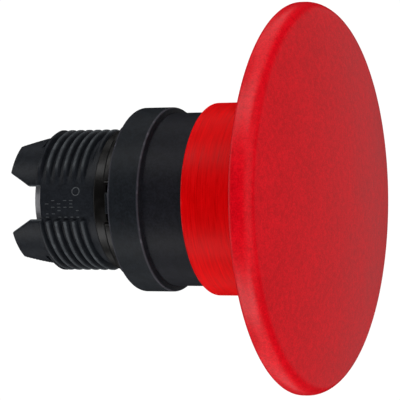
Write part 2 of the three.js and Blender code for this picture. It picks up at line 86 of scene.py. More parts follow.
# ------------------------------------------------------------------ outlines and shells


def arc(centre: Point2, size: float, start: float, end: float, steps: int) -> list[Corner]:
    """Points of an arc in the (radius, height) half-plane.

    Args:
        centre: radius and height of the arc's centre.
        size: radius of the arc.
        start: first angle in degrees, from the outward radius.
        end: last angle in degrees.
        steps: number of chords.

    Returns:
        Corners without a fillet, both ends included.
    """
    angles = np.radians(np.linspace(start, end, steps + 1))
    return [(centre[0] + size * math.cos(a), centre[1] + size * math.sin(a), 0.0) for a in angles]


def rounded(corners: Sequence[Corner], closed: bool = True) -> tuple[np.ndarray, np.ndarray]:
    """Replaces each corner of an outline with an arc of the corner's own fillet radius.

    Args:
        corners: (radius, height, fillet) in order round the outline.
        closed: whether the last corner joins the first.

    Returns:
        The points as (radius, height) rows, and the share of edge rubbing and painted highlight at each.
    """
    points: list[np.ndarray] = []
    rub_and_highlight: list[float] = []
    count = len(corners)
    turn_step = math.radians(15.0)
    most = 0.48  # share of a side that one fillet may take
    for i, (radius, height, fillet) in enumerate(corners):
        here = np.array((radius, height))
        at_end = not closed and i in (0, count - 1)
        if fillet <= 0.0 or at_end:
            points.append(here)
            rub_and_highlight.append(0.0)
            continue
        back = np.array(corners[i - 1][:2]) - here
        ahead = np.array(corners[(i + 1) % count][:2]) - here
        back_length, ahead_length = np.linalg.norm(back), np.linalg.norm(ahead)
        back, ahead = back / back_length, ahead / ahead_length
        opening = math.acos(float(np.clip(back @ ahead, -1.0, 1.0)))
        reach = min(fillet / math.tan(opening / 2.0), most * back_length, most * ahead_length)
        size = reach * math.tan(opening / 2.0)
        inward = (back + ahead) / np.linalg.norm(back + ahead)
        centre = here + inward * size / math.sin(opening / 2.0)
        start, end = here + back * reach - centre, here + ahead * reach - centre
        sweep = math.pi - opening
        steps = max(3, math.ceil(sweep / turn_step))
        for k in range(steps + 1):
            share = k / steps
            mixed = math.sin((1 - share) * sweep) * start + math.sin(share * sweep) * end
            points.append(centre + mixed / math.sin(sweep))
            # Peaks mid-fillet: edge rubbing plus a painted highlight along the rounding.
            rub_and_highlight.append(math.sin(math.pi * share))
    return np.array(points), np.array(rub_and_highlight)


def place(radius: np.ndarray, clock: np.ndarray, height: np.ndarray) -> np.ndarray:
    """Points in the row frame, in metres, from radius, clock angle and height in millimetres."""
    return np.stack([-radius * np.sin(clock), -height, radius * np.cos(clock)], axis=-1) * MM


def flatted(clock: np.ndarray, radius: float, flat: float, sharpness: float) -> np.ndarray:
    """Radius of a round section with a flat above and below, blended softly at the corners.

    Args:
        clock: clock angles.
        radius: radius of the round part.
        flat: distance of each flat from the axis.
        sharpness: how tight the blend is.

    Returns:
        The radius at each clock angle.
    """
    chord = flat / np.maximum(np.abs(np.cos(clock)), 1e-3)
    return (radius**-sharpness + chord**-sharpness) ** (-1.0 / sharpness)


class Shell:
    """Collects the strips of one closed piece and welds them into a mesh."""

    CREST_HIGHLIGHT = 5.0  # how closely the painted highlight of a helix keeps to its crests

    def __init__(self) -> None:
        """Starts an empty shell."""
        self.points: list[np.ndarray] = []
        self.rub_and_highlight: list[np.ndarray] = []
        self.faces: list[tuple[int, ...]] = []
        self.count = 0

    def add_points(self, points: np.ndarray, rub_and_highlight: np.ndarray) -> int:
        """Adds rows of points.

        Args:
            points: places in metres, with x, y and z on the last axis.
            rub_and_highlight: edge rubbing and painted highlight, broadcast to the same rows.

        Returns:
            The index of the first point.
        """
        first = self.count
        self.points.append(points.reshape(-1, 3))
        self.rub_and_highlight.append(np.broadcast_to(rub_and_highlight, points.shape[:-1]).reshape(-1))
        self.count += self.points[-1].shape[0]
        return first

    def grid(
        self,
        radius: np.ndarray,
        clock: np.ndarray,
        height: np.ndarray,
        around: bool = True,
        rub_and_highlight: Union[float, np.ndarray] = 0.0,
    ) -> None:
        """Adds a strip of four-sided faces over rows and columns of places.

        Args:
            radius: (rows, columns) radii.
            clock: clock angles, broadcast to the same shape.
            height: heights, broadcast to the same shape.
            around: whether the last column joins the first.
            rub_and_highlight: edge rubbing and painted highlight, broadcast to the same shape.
        """
        radius, clock, height, rub_and_highlight = np.broadcast_arrays(radius, clock, height, rub_and_highlight)
        rows, columns = radius.shape
        first = self.add_points(place(radius, clock, height), rub_and_highlight)
        last = columns if around else columns - 1
        for row in range(rows - 1):
            start = first + row * columns
            for column in range(last):
                beside = (column + 1) % columns
                ahead = start + columns
                self.faces.append((start + column, start + beside, ahead + beside, ahead + column))

    def helix(
        self,
        clock: np.ndarray,
        levels: np.ndarray,
        pitch: float,
        rows_per_pitch: int,
        limits: Point2,
        radius_at: Callable[[np.ndarray, np.ndarray], np.ndarray],
    ) -> None:
        """Adds a wall whose rows climb one pitch a turn, so that they follow a right-hand thread.

        Args:
            clock: clock angles of the columns, rising from 0.
            levels: height of each row at 12 o'clock; a pitch apart every rows_per_pitch rows.
            pitch: climb in one turn.
            rows_per_pitch: rows in one pitch.
            limits: lowest and highest height; rows beyond them collapse onto the limit.
            radius_at: radius from clock angle and height.
        """
        heights = levels[:, None] + pitch * clock[None, :] / FULL_TURN
        heights = np.clip(heights, *limits)
        angles = np.broadcast_to(clock, heights.shape)
        radii = radius_at(angles, heights)
        rows, columns = heights.shape
        reach = (radii - radii.min()) / (radii.max() - radii.min())
        # The edge share peaks on the crests, so the thread gets painted highlight lines.
        first = self.add_points(place(radii, angles, heights), reach**self.CREST_HIGHLIGHT)
        for row in range(rows - 1):
            start = first + row * columns
            ahead = start + columns
            for column in range(columns - 1):
                self.faces.append((start + column, start + column + 1, ahead + column + 1, ahead + column))
            seam = start + rows_per_pitch * columns
            if row + 1 + rows_per_pitch < rows:
                self.faces.append((ahead - 1, seam, seam + columns, ahead + columns - 1))

    def face(self, indices: Sequence[int]) -> None:
        """Adds one face over points that are already there."""
        self.faces.append(tuple(indices))

    def mesh(self, name: str) -> bpy.types.Object:
        """Welds what was added into one closed mesh object.

        Args:
            name: the piece's name.

        Returns:
            A new object at the origin, with its faces outward and an edge_wear_and_highlight attribute.
        """
        mesh = bpy.data.meshes.new(name)
        mesh.from_pydata(np.concatenate(self.points), [], self.faces)
        attribute = mesh.attributes.new("edge_wear_and_highlight", "FLOAT", "POINT")
        attribute.data.foreach_set("value", np.concatenate(self.rub_and_highlight).astype(np.float32))
        return settle(link(name, mesh))


def link(name: str, mesh: bpy.types.Mesh) -> bpy.types.Object:
    """Makes an object of a mesh and links it to the scene.

    Args:
        name: the object's name.
        mesh: its mesh.

    Returns:
        The object.
    """
    piece = bpy.data.objects.new(name, mesh)
    bpy.context.scene.collection.objects.link(piece)
    return piece


def settle(piece: bpy.types.Object) -> bpy.types.Object:
    """Welds doubles, turns the faces outward and shades the piece smooth.

    Args:
        piece: a mesh object whose faces already agree with each other.

    Returns:
        The same object.
    """
    weld_distance = 0.0006 * MM
    work = bmesh.new()
    work.from_mesh(piece.data)
    bmesh.ops.remove_doubles(work, verts=work.verts, dist=weld_distance)
    bmesh.ops.dissolve_degenerate(work, edges=work.edges, dist=weld_distance)
    if work.calc_volume(signed=True) < 0.0:
        bmesh.ops.reverse_faces(work, faces=work.faces)
    for part in work.faces:
        part.smooth = True
    work.to_mesh(piece.data)
    work.free()
    weighted = piece.modifiers.new("even_normals", "WEIGHTED_NORMAL")
    weighted.keep_sharp = True
    weighted.weight = 60
    return piece


def turned(
    name: str,
    corners: Sequence[Corner],
    detail: Detail = Detail.FINE,
    sector: Optional[Point2] = None,
) -> bpy.types.Object:
    """Turns an outline about the axis.

    Args:
        name: the piece's name.
        corners: (radius, height, fillet) in order; both ends lie on the axis, or it closes on itself.
        detail: facets round a full turn.
        sector: first and last clock angle in radians for a piece that doesn't go all the way round.

    Returns:
        The turned piece.
    """
    closed = corners[0][0] > 0.0
    points, rub_and_highlight = rounded(corners, closed)
    if closed:
        points, rub_and_highlight = np.vstack([points, points[:1]]), np.append(rub_and_highlight, rub_and_highlight[0])
    shell = Shell()
    if sector is None:
        clock = np.linspace(0.0, FULL_TURN, detail.value, endpoint=False)
    else:
        columns = max(8, round(detail.value * (sector[1] - sector[0]) / FULL_TURN))
        clock = np.linspace(*sector, columns)
    shell.grid(points[:, :1] + 0 * clock, clock, points[:, 1:], sector is None, rub_and_highlight[:, None])
    if sector is not None:
        ring = len(points) - 1
        columns = len(clock)
        shell.face([row * columns for row in range(ring)])
        shell.face([row * columns + columns - 1 for row in reversed(range(ring))])
    return shell.mesh(name)


def block(name: str, low: Vector, high: Vector, edge: float) -> bpy.types.Object:
    """A block in the row frame with rounded edges.

    Args:
        name: the object's name.
        low: lowest corner in millimetres.
        high: highest corner in millimetres.
        edge: radius of its edges in millimetres.

    Returns:
        The block.
    """
    work = bmesh.new()
    bmesh.ops.create_cube(work, size=1.0)
    for vertex in work.verts:
        middle, reach = (low + high) / 2, high - low
        vertex.co = Vector([middle[i] + vertex.co[i] * reach[i] for i in range(3)]) * MM
    bmesh.ops.bevel(
        work, geom=list(work.edges), offset=edge * MM, segments=3, profile=0.5, affect="EDGES"
    )
    mesh = bpy.data.meshes.new(name)
    work.to_mesh(mesh)
    work.free()
    return link(name, mesh)


def combine(piece: bpy.types.Object, tools: Sequence[bpy.types.Object], operation: str) -> None:
    """Joins tools to a piece, or cuts them from it, and removes the tools.

    Args:
        piece: the mesh object that is changed.
        tools: closed mesh objects.
        operation: UNION or DIFFERENCE.
    """
    piece.modifiers.clear()
    for tool in tools:
        modifier = piece.modifiers.new("combine", "BOOLEAN")
        modifier.object = tool
        modifier.operation = operation
        modifier.solver = "EXACT"
    depsgraph = bpy.context.evaluated_depsgraph_get()
    made = bpy.data.meshes.new_from_object(piece.evaluated_get(depsgraph))
    piece.modifiers.clear()
    old = piece.data
    piece.data = made
    bpy.data.meshes.remove(old)
    for tool in tools:
        bpy.data.objects.remove(tool)
    settle(piece)
    sharp_angle = math.radians(32.0)
    piece.data.set_sharp_from_angle(angle=sharp_angle)


@dataclass(frozen=True)
class Span:
    """How far a CAD node reaches: its largest radius and its ends along the axis, in millimetres."""

    radius: float
    rear: float
    front: float

    @classmethod
    def of(cls, node: str) -> "Span":
        """Reads a node's span from the frame."""
        low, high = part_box(node)
        return cls((high.x - low.x) / 2 / MM, -high.y / MM, -low.y / MM)


def carry(
    piece: bpy.types.Object,
    body: Body,
    material: bpy.types.Material,
    replaces: Sequence[str] = (),
) -> bpy.types.Object:
    """Dresses a finished piece and hangs it on its body.

    Args:
        piece: the piece, in place.
        body: the CAD body that it moves with.
        material: its finish.
        replaces: the CAD nodes that it stands for.

    Returns:
        The piece.
    """
    piece.data.materials.clear()
    piece.data.materials.append(material)
    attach(piece, body.value)
    if replaces:
        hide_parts(*replaces)
    LOG.info("%s rides on %s, %d faces", piece.name, body.value, len(piece.data.polygons))
    return piece


# ------------------------------------------------------------------ node trees and arithmetic


class Term:
    """A socket of a node tree that takes part in arithmetic."""

    def __init__(self, tree: "Tree", socket: bpy.types.NodeSocket) -> None:
        """Wraps a socket.

        Args:
            tree: the tree that the socket is in.
            socket: the socket.
        """
        self.tree = tree
        self.socket = socket

    def __add__(self, other: "Operand") -> "Term":
        """self + other."""
        return self.tree.math("ADD", self, other)

    def __radd__(self, other: "Operand") -> "Term":
        """other + self."""
        return self.tree.math("ADD", other, self)

    def __sub__(self, other: "Operand") -> "Term":
        """self - other."""
        return self.tree.math("SUBTRACT", self, other)

    def __rsub__(self, other: "Operand") -> "Term":
        """other - self."""
        return self.tree.math("SUBTRACT", other, self)

    def __mul__(self, other: "Operand") -> "Term":
        """self * other."""
        return self.tree.math("MULTIPLY", self, other)

    def __rmul__(self, other: "Operand") -> "Term":
        """other * self."""
        return self.tree.math("MULTIPLY", other, self)

    def __truediv__(self, other: "Operand") -> "Term":
        """self / other."""
        return self.tree.math("DIVIDE", self, other)

    def __rtruediv__(self, other: "Operand") -> "Term":
        """other / self."""
        return self.tree.math("DIVIDE", other, self)

    def __neg__(self) -> "Term":
        """-self."""
        return self.tree.math("MULTIPLY", self, -1.0)

    def __pow__(self, other: "Operand") -> "Term":
        """self ** other."""
        return self.tree.math("POWER", self, other)

    def least(self, other: "Operand") -> "Term":
        """The smaller of self and other."""
        return self.tree.math("MINIMUM", self, other)

    def most(self, other: "Operand") -> "Term":
        """The larger of self and other."""
        return self.tree.math("MAXIMUM", self, other)

    def rise(self, low: float, high: float) -> "Term":
        """0 below low, 1 above high and smooth between.

        Args:
            low: where it starts to rise.
            high: where it reaches 1.

        Returns:
            The smooth step.
        """
        inputs = {"Value": self, "From Min": low, "From Max": high}
        settings = {"interpolation_type": "SMOOTHSTEP"}
        return Term(self.tree, self.tree.node("ShaderNodeMapRange", settings, inputs).outputs[0])


Operand = Union[Term, bpy.types.NodeSocket, float, tuple]


class Tree:
    """Any node tree, with the one method that adds nodes to it."""

    def __init__(self, tree: bpy.types.NodeTree) -> None:
        """Takes hold of a tree."""
        self.tree = tree

    def node(self, kind: str, settings: dict, inputs: dict) -> bpy.types.Node:
        """Adds a node.

        Args:
            kind: the node's type name.
            settings: its own settings, which are set first.
            inputs: what each input socket, by name or number, holds or is linked to.

        Returns:
            The new node.
        """
        node = self.tree.nodes.new(kind)
        for key, value in settings.items():
            setattr(node, key, value)
        for key, value in inputs.items():
            source = value.socket if isinstance(value, Term) else value
            if isinstance(source, bpy.types.NodeSocket):
                self.tree.links.new(source, node.inputs[key])
            else:
                node.inputs[key].default_value = source
        return node

    def math(self, operation: str, first: Operand, second: Operand = 0.0) -> Term:
        """Adds a Math node."""
        node = self.node("ShaderNodeMath", {"operation": operation}, {0: first, 1: second})
        return Term(self, node.outputs[0])

    def vector(self, x: Operand, y: Operand, z: Operand) -> bpy.types.NodeSocket:
        """Adds a Combine XYZ node and returns its result."""
        return self.node("ShaderNodeCombineXYZ", {}, {0: x, 1: y, 2: z}).outputs[0]


class Graph(Tree):
    """One material's node graph."""

    def __init__(self, name: str) -> None:
        """Starts an empty material.

        Args:
            name: the material's name.
        """
        self.material = bpy.data.materials.new(name)
        self.material.use_nodes = True
        super().__init__(self.material.node_tree)
        self.tree.nodes.clear()

    def where(self) -> bpy.types.NodeSocket:
        """The place on the piece, in metres."""
        return self.node("ShaderNodeTexCoord", {}, {}).outputs["Object"]

    def ring_place(self, around: float) -> bpy.types.NodeSocket:
        """A place measured round the axis, so that a pattern on it follows the circumference.

        Args:
            around: how far the pattern moves for one radian round the axis, in metres.

        Returns:
            A vector socket for a texture.
        """
        parts = self.node("ShaderNodeSeparateXYZ", {}, {0: self.where()}).outputs
        x, y, z = (Term(self, part) for part in parts)
        radius = (x * x + z * z) ** 0.5
        return self.vector(self.math("ARCTAN2", x, z) * around, y, radius)

    def noise(
        self, size: float, detail: float = 2.0, at: Optional[bpy.types.NodeSocket] = None
    ) -> Term:
        """Noise from 0 to 1 whose blobs are about size millimetres across."""
        inputs = {"Vector": at or self.where(), "Scale": 1.0 / (size * MM), "Detail": detail}
        return Term(self, self.node("ShaderNodeTexNoise", {}, inputs).outputs[0])

    def rubbed_and_lit(self) -> Term:
        """How much edge rubbing and painted highlight a place has, from the piece's own attribute."""
        settings = {"attribute_name": "edge_wear_and_highlight"}
        return Term(self, self.node("ShaderNodeAttribute", settings, {}).outputs["Fac"])

    def tint(self, factor: Operand, first: Operand, second: Operand) -> Term:
        """A colour between two colours."""
        inputs = {0: factor, 6: first, 7: second}
        return Term(self, self.node("ShaderNodeMix", {"data_type": "RGBA"}, inputs).outputs[2])

    def bump(
        self, height: Term, depth: float, strength: float, under: Optional[Term] = None
    ) -> Term:
        """A normal bent by a height.

        Args:
            height: the pattern, about 0 to 1.
            depth: how deep the pattern is, in millimetres.
            strength: share of it that shows.
            under: a normal that this one goes on top of.

        Returns:
            The new normal.
        """
        inputs = {"Height": height, "Distance": depth * MM, "Strength": strength}
        if under is not None:
            inputs["Normal"] = under
        return Term(self, self.node("ShaderNodeBump", {}, inputs).outputs[0])

    def finish(self, shader: bpy.types.Node) -> bpy.types.Material:
        """Links a shader to the output and returns the material."""
        self.node("ShaderNodeOutputMaterial", {}, {"Surface": shader.outputs[0]})
        return self.material

    def close(self, inputs: dict) -> bpy.types.Material:
        """Ends the graph in a Principled shader with these inputs and returns the material."""
        return self.finish(self.node("ShaderNodeBsdfPrincipled", {}, inputs))


def colour(red: int, green: int, blue: int) -> Colour:
    """A display colour as the linear values that shaders take.

    Args:
        red: red channel, from 0 to 255.
        green: green channel.
        blue: blue channel.

    Returns:
        Linear red, green, blue and an alpha of 1.
    """

    def linear(channel: int) -> float:
        """One channel made linear."""
        share = channel / 255.0
        return share / 12.92 if share <= 0.04045 else ((share + 0.055) / 1.055) ** 2.4

    return linear(red), linear(green), linear(blue), 1.0


@dataclass(frozen=True)
class MouldedPlastic:
    """Injection-moulded plastic with a fine spark-eroded texture; edges tinted lighter for rubbing and
    painted highlight.
    """

    name: str
    base: Colour
    shade: Colour
    rubbed_and_lit: Colour
    roughness: float
    grain: float = 0.22
    grain_depth: float = 0.012
    grain_strength: float = 0.5
    gloss: float = 0.16
    speckle: float = 0.35
    edge_wear_and_highlight: float = 0.12

    def material(self) -> bpy.types.Material:
        """Builds the material.

        Returns:
            The new material.
        """
        graph = Graph(self.name)
        fine = graph.noise(self.grain, 3.0)
        coarse = graph.noise(self.grain * 3.4, 2.0)
        cloud = graph.noise(9.0, 3.0)
        scuff = graph.noise(1.3, 4.0).rise(0.52, 0.68) * graph.rubbed_and_lit()
        mottle = (fine - 0.5 + (coarse - 0.5) * 0.6) * self.speckle + cloud * 0.55 + 0.22
        body = graph.tint(mottle.rise(0.0, 1.0), self.shade, self.base)
        # Edges tint towards the light colour: part rubbing, part painted highlight.
        tinted = graph.tint(scuff * 0.4 + graph.rubbed_and_lit() * self.edge_wear_and_highlight, body, self.rubbed_and_lit)
        relief = fine * 0.7 + coarse * 0.3
        normal = graph.bump(relief, self.grain_depth, self.grain_strength)
        normal = graph.bump(cloud, 0.05, 0.12, normal)
        return graph.close(
            {
                "Base Color": tinted,
                "Roughness": (fine + cloud) * 0.10 - scuff * 0.12 + (self.roughness - 0.10),
                "Normal": normal,
                "Specular IOR Level": self.gloss,
            }
        )


@dataclass(frozen=True)
class TurnedPlastic:
    """Glossy plastic with fine marks round its axis, as from a turned mould core."""

    name: str
    base: Colour
    shade: Colour
    rubbed_and_lit: Colour
    roughness: float
    line: float = 0.20
    line_depth: float = 0.010
    gloss: float = 0.2

    def material(self) -> bpy.types.Material:
        """Builds the material.

        Returns:
            The new material.
        """
        graph = Graph(self.name)
        lines = graph.noise(self.line, 2.0, graph.ring_place(0.00012))
        dashes = graph.noise(self.line * 1.6, 3.0, graph.ring_place(0.0016))
        patches = graph.noise(3.0, 3.0)
        cloud = graph.noise(8.0, 3.0)
        # Noisy light patches on edges: rubbing, on an edge share that also carries painted highlight.
        scuff = graph.noise(1.1, 4.0).rise(0.5, 0.66) * graph.rubbed_and_lit()
        streak = (lines * 0.45 + dashes * 0.55 - 0.5) * 1.8 + 0.5
        body = graph.tint((streak - 0.5) * 0.9 + cloud * 0.5 + 0.25, self.shade, self.base)
        tinted = graph.tint(scuff * 0.5, body, self.rubbed_and_lit)
        normal = graph.bump(streak, self.line_depth, 0.8)
        return graph.close(
            {
                "Base Color": tinted,
                "Roughness": streak * 0.34 + patches * 0.10 + (self.roughness - 0.20),
                "Normal": normal,
                "Specular IOR Level": self.gloss,
            }
        )


@dataclass(frozen=True)
class SealRubber:
    """Black rubber with a slightly oily skin."""

    name: str = "seal_rubber"
    base: Colour = colour(12, 11, 10)
    dusty: Colour = colour(26, 23, 22)
    roughness: float = 0.26

    def material(self) -> bpy.types.Material:
        """Builds the material.

        Returns:
            The new material.
        """
        graph = Graph(self.name)
        fine = graph.noise(0.12, 3.0)
        cloud = graph.noise(2.4, 4.0)
        dust = cloud.rise(0.48, 0.75) * (fine * 0.6 + 0.2)
        return graph.close(
            {
                "Base Color": graph.tint(dust * 0.6, self.base, self.dusty),
                "Roughness": dust * 0.35 + fine * 0.08 + self.roughness,
                "Normal": graph.bump(fine * 0.5 + cloud * 0.5, 0.02, 0.4),
                "Specular IOR Level": 0.2,
            }
        )


@dataclass(frozen=True)
class BrightMetal:
    """Steel or brass with fine drawing or turning marks."""

    name: str
    base: Colour
    dull: Colour
    roughness: float = 0.28

    def material(self) -> bpy.types.Material:
        """Builds the material.

        Returns:
            The new material.
        """
        graph = Graph(self.name)
        lines = graph.noise(0.07, 3.0, graph.ring_place(0.0006))
        cloud = graph.noise(1.6, 3.0)
        return graph.close(
            {
                "Base Color": graph.tint(cloud.rise(0.4, 0.8) * 0.6, self.base, self.dull),
                "Metallic": 1.0,
                "Roughness": lines * 0.14 + cloud * 0.12 + (self.roughness - 0.1),
                "Normal": graph.bump(lines, 0.006, 0.5),
            }
        )


class Finishes:
    """Every finish of the head, made once."""

    def __init__(self) -> None:
        """Builds the materials."""
        # Each plastic's third colour and edge share paint lighter edges: part rubbing, part painted
        # highlight; the cap's is its rim highlight.
        self.cap = MouldedPlastic(
            "cap_red", colour(230, 8, 28), colour(192, 0, 14), colour(244, 66, 72), 0.33,
            grain=0.24, grain_depth=0.022, grain_strength=0.9, gloss=0.20, speckle=1.5,
            edge_wear_and_highlight=0.12,
        ).material()
        self.skirt = TurnedPlastic(
            "skirt_red", colour(246, 0, 8), colour(184, 0, 0), colour(240, 60, 66), 0.40, gloss=0.06
        ).material()
        self.neck = MouldedPlastic(
            "neck_black", colour(29, 30, 36), colour(20, 21, 25), colour(60, 60, 64), 0.46,
            grain=0.34, grain_depth=0.025, grain_strength=0.8, gloss=0.10, speckle=1.8,
        ).material()
        # The bezel's strong edge tint paints the highlight line along its front rounding.
        self.bezel = MouldedPlastic(
            "bezel_black", colour(28, 32, 37), colour(19, 22, 26), colour(100, 98, 108), 0.46,
            grain=0.34, grain_depth=0.025, grain_strength=0.8, gloss=0.11, speckle=1.8,
            edge_wear_and_highlight=0.30,
        ).material()
        # The body's strong edge tint paints highlight lines on the thread crests and claw edges.
        self.body = MouldedPlastic(
            "body_black", colour(33, 36, 41), colour(22, 24, 28), colour(122, 128, 132), 0.38,
            grain=0.28, grain_depth=0.018, gloss=0.10, speckle=1.6, edge_wear_and_highlight=0.5,
        ).material()
        self.marks = MouldedPlastic(
            "mark_black", colour(76, 80, 84), colour(54, 57, 60), colour(110, 112, 116), 0.36,
            grain=0.10, gloss=0.2, speckle=1.6,
        ).material()
        self.slide = MouldedPlastic(
            "slide_grey", colour(142, 142, 146), colour(128, 128, 132), colour(172, 172, 176), 0.34,
            grain=0.10, grain_depth=0.004, gloss=0.3,
        ).material()
        self.rubber = SealRubber().material()
        self.steel = BrightMetal(
            "spring_steel", colour(206, 208, 212), colour(150, 150, 152)
        ).material()
        self.brass = BrightMetal(
            "insert_brass", colour(214, 174, 92), colour(168, 128, 62), 0.32
        ).material()


# ------------------------------------------------------------------ geometry nodes


class Rule(Tree):
    """A Geometry Nodes tree with named size inputs, run once on an empty piece."""

    def __init__(self, name: str) -> None:
        """Starts a tree that has only its output.

        Args:
            name: the tree's name.
        """
        super().__init__(bpy.data.node_groups.new(name, "GeometryNodeTree"))
        self.tree.interface.new_socket(
            name="Geometry", in_out="OUTPUT", socket_type="NodeSocketGeometry"
        )
        self.inlet = self.tree.nodes.new("NodeGroupInput")
        self.outlet = self.tree.nodes.new("NodeGroupOutput")
        self.sizes: dict[str, float] = {}

    def size(self, name: str, value: Union[int, float]) -> Term:
        """Adds a named input.

        Args:
            name: the input's name.
            value: what it is set to.

        Returns:
            Its socket inside the tree.
        """
        kind = "NodeSocketInt" if isinstance(value, int) else "NodeSocketFloat"
        item = self.tree.interface.new_socket(name=name, in_out="INPUT", socket_type=kind)
        self.sizes[item.identifier] = value
        return Term(self, self.inlet.outputs[item.identifier])

    def index(self) -> Term:
        """The number of each point."""
        return Term(self, self.node("GeometryNodeInputIndex", {}, {}).outputs[0])

    def random(self, seed: Term, low: float = 0.0, high: float = 1.0) -> Term:
        """A random number for each point, from low to high.

        Args:
            seed: seed of the row of numbers.
            low: smallest number.
            high: largest number.

        Returns:
            The numbers.
        """
        inputs = {2: low, 3: high, "ID": self.index(), "Seed": seed}
        node = self.node("FunctionNodeRandomValue", {"data_type": "FLOAT"}, inputs)
        return Term(self, node.outputs[1])

    def points(self, count: Term) -> bpy.types.NodeSocket:
        """A number of points, all on the origin."""
        inputs = {"Count": count, "Offset": (0.0, 0.0, 0.0)}
        return self.node("GeometryNodeMeshLine", {}, inputs).outputs[0]

    def copies(
        self, shape: bpy.types.Object, points: bpy.types.NodeSocket, extra: dict
    ) -> bpy.types.NodeSocket:
        """Puts a copy of a shape on every point.

        Args:
            shape: the shape, as it stands in the scene.
            points: where the copies go.
            extra: other inputs of the node, such as the rotation.

        Returns:
            The copies.
        """
        source = self.node("GeometryNodeObjectInfo", {}, {"Object": shape})
        inputs = {"Points": points, "Instance": source.outputs["Geometry"], **extra}
        return self.node("GeometryNodeInstanceOnPoints", {}, inputs).outputs[0]

    def run(
        self, name: str, geometry: bpy.types.NodeSocket, material: bpy.types.Material
    ) -> bpy.types.Object:
        """Ends the tree, evaluates it and returns the result as a plain mesh object.

        Args:
            name: the piece's name.
            geometry: the socket that gives the finished geometry.
            material: the finish that the tree sets.

        Returns:
            A mesh object with no modifiers of this tree.
        """
        real = self.node("GeometryNodeRealizeInstances", {}, {0: geometry})
        smooth = self.node("GeometryNodeSetShadeSmooth", {}, {0: real.outputs[0]})
        dressed = self.node(
            "GeometryNodeSetMaterial", {}, {"Geometry": smooth.outputs[0], "Material": material}
        )
        self.tree.links.new(dressed.outputs[0], self.outlet.inputs[0])
        seed = link(name, bpy.data.meshes.new(name))
        modifier = seed.modifiers.new("rule", "NODES")
        modifier.node_group = self.tree
        for identifier, value in self.sizes.items():
            modifier[identifier] = value
        depsgraph = bpy.context.evaluated_depsgraph_get()
        made = bpy.data.meshes.new_from_object(seed.evaluated_get(depsgraph))
        seed.modifiers.clear()
        old = seed.data
        seed.data = made
        bpy.data.meshes.remove(old)
        return seed


def ring_of(
    name: str,
    shape: bpy.types.Object,
    count: int,
    start: float,
    material: bpy.types.Material,
) -> bpy.types.Object:
    """Repeats a shape evenly round the axis.

    Args:
        name: the new piece's name.
        shape: the shape as it stands at 12 o'clock; it is removed afterwards.
        count: how many copies.
        start: clock angle of the first copy, in radians.
        material: the finish.

    Returns:
        One piece that holds every copy.
    """
    rule = Rule(name)
    copies = rule.size("Count", count)
    angle = rule.size("Start", float(start)) + rule.index() * (FULL_TURN / copies)
    # Clock angles grow from +Z towards -X, which is a negative turn about +Y.
    turn = rule.vector(0.0, -angle, 0.0)
    piece = rule.run(name, rule.copies(shape, rule.points(copies), {"Rotation": turn}), material)
    bpy.data.objects.remove(shape)
    return piece


# ------------------------------------------------------------------ the moving button


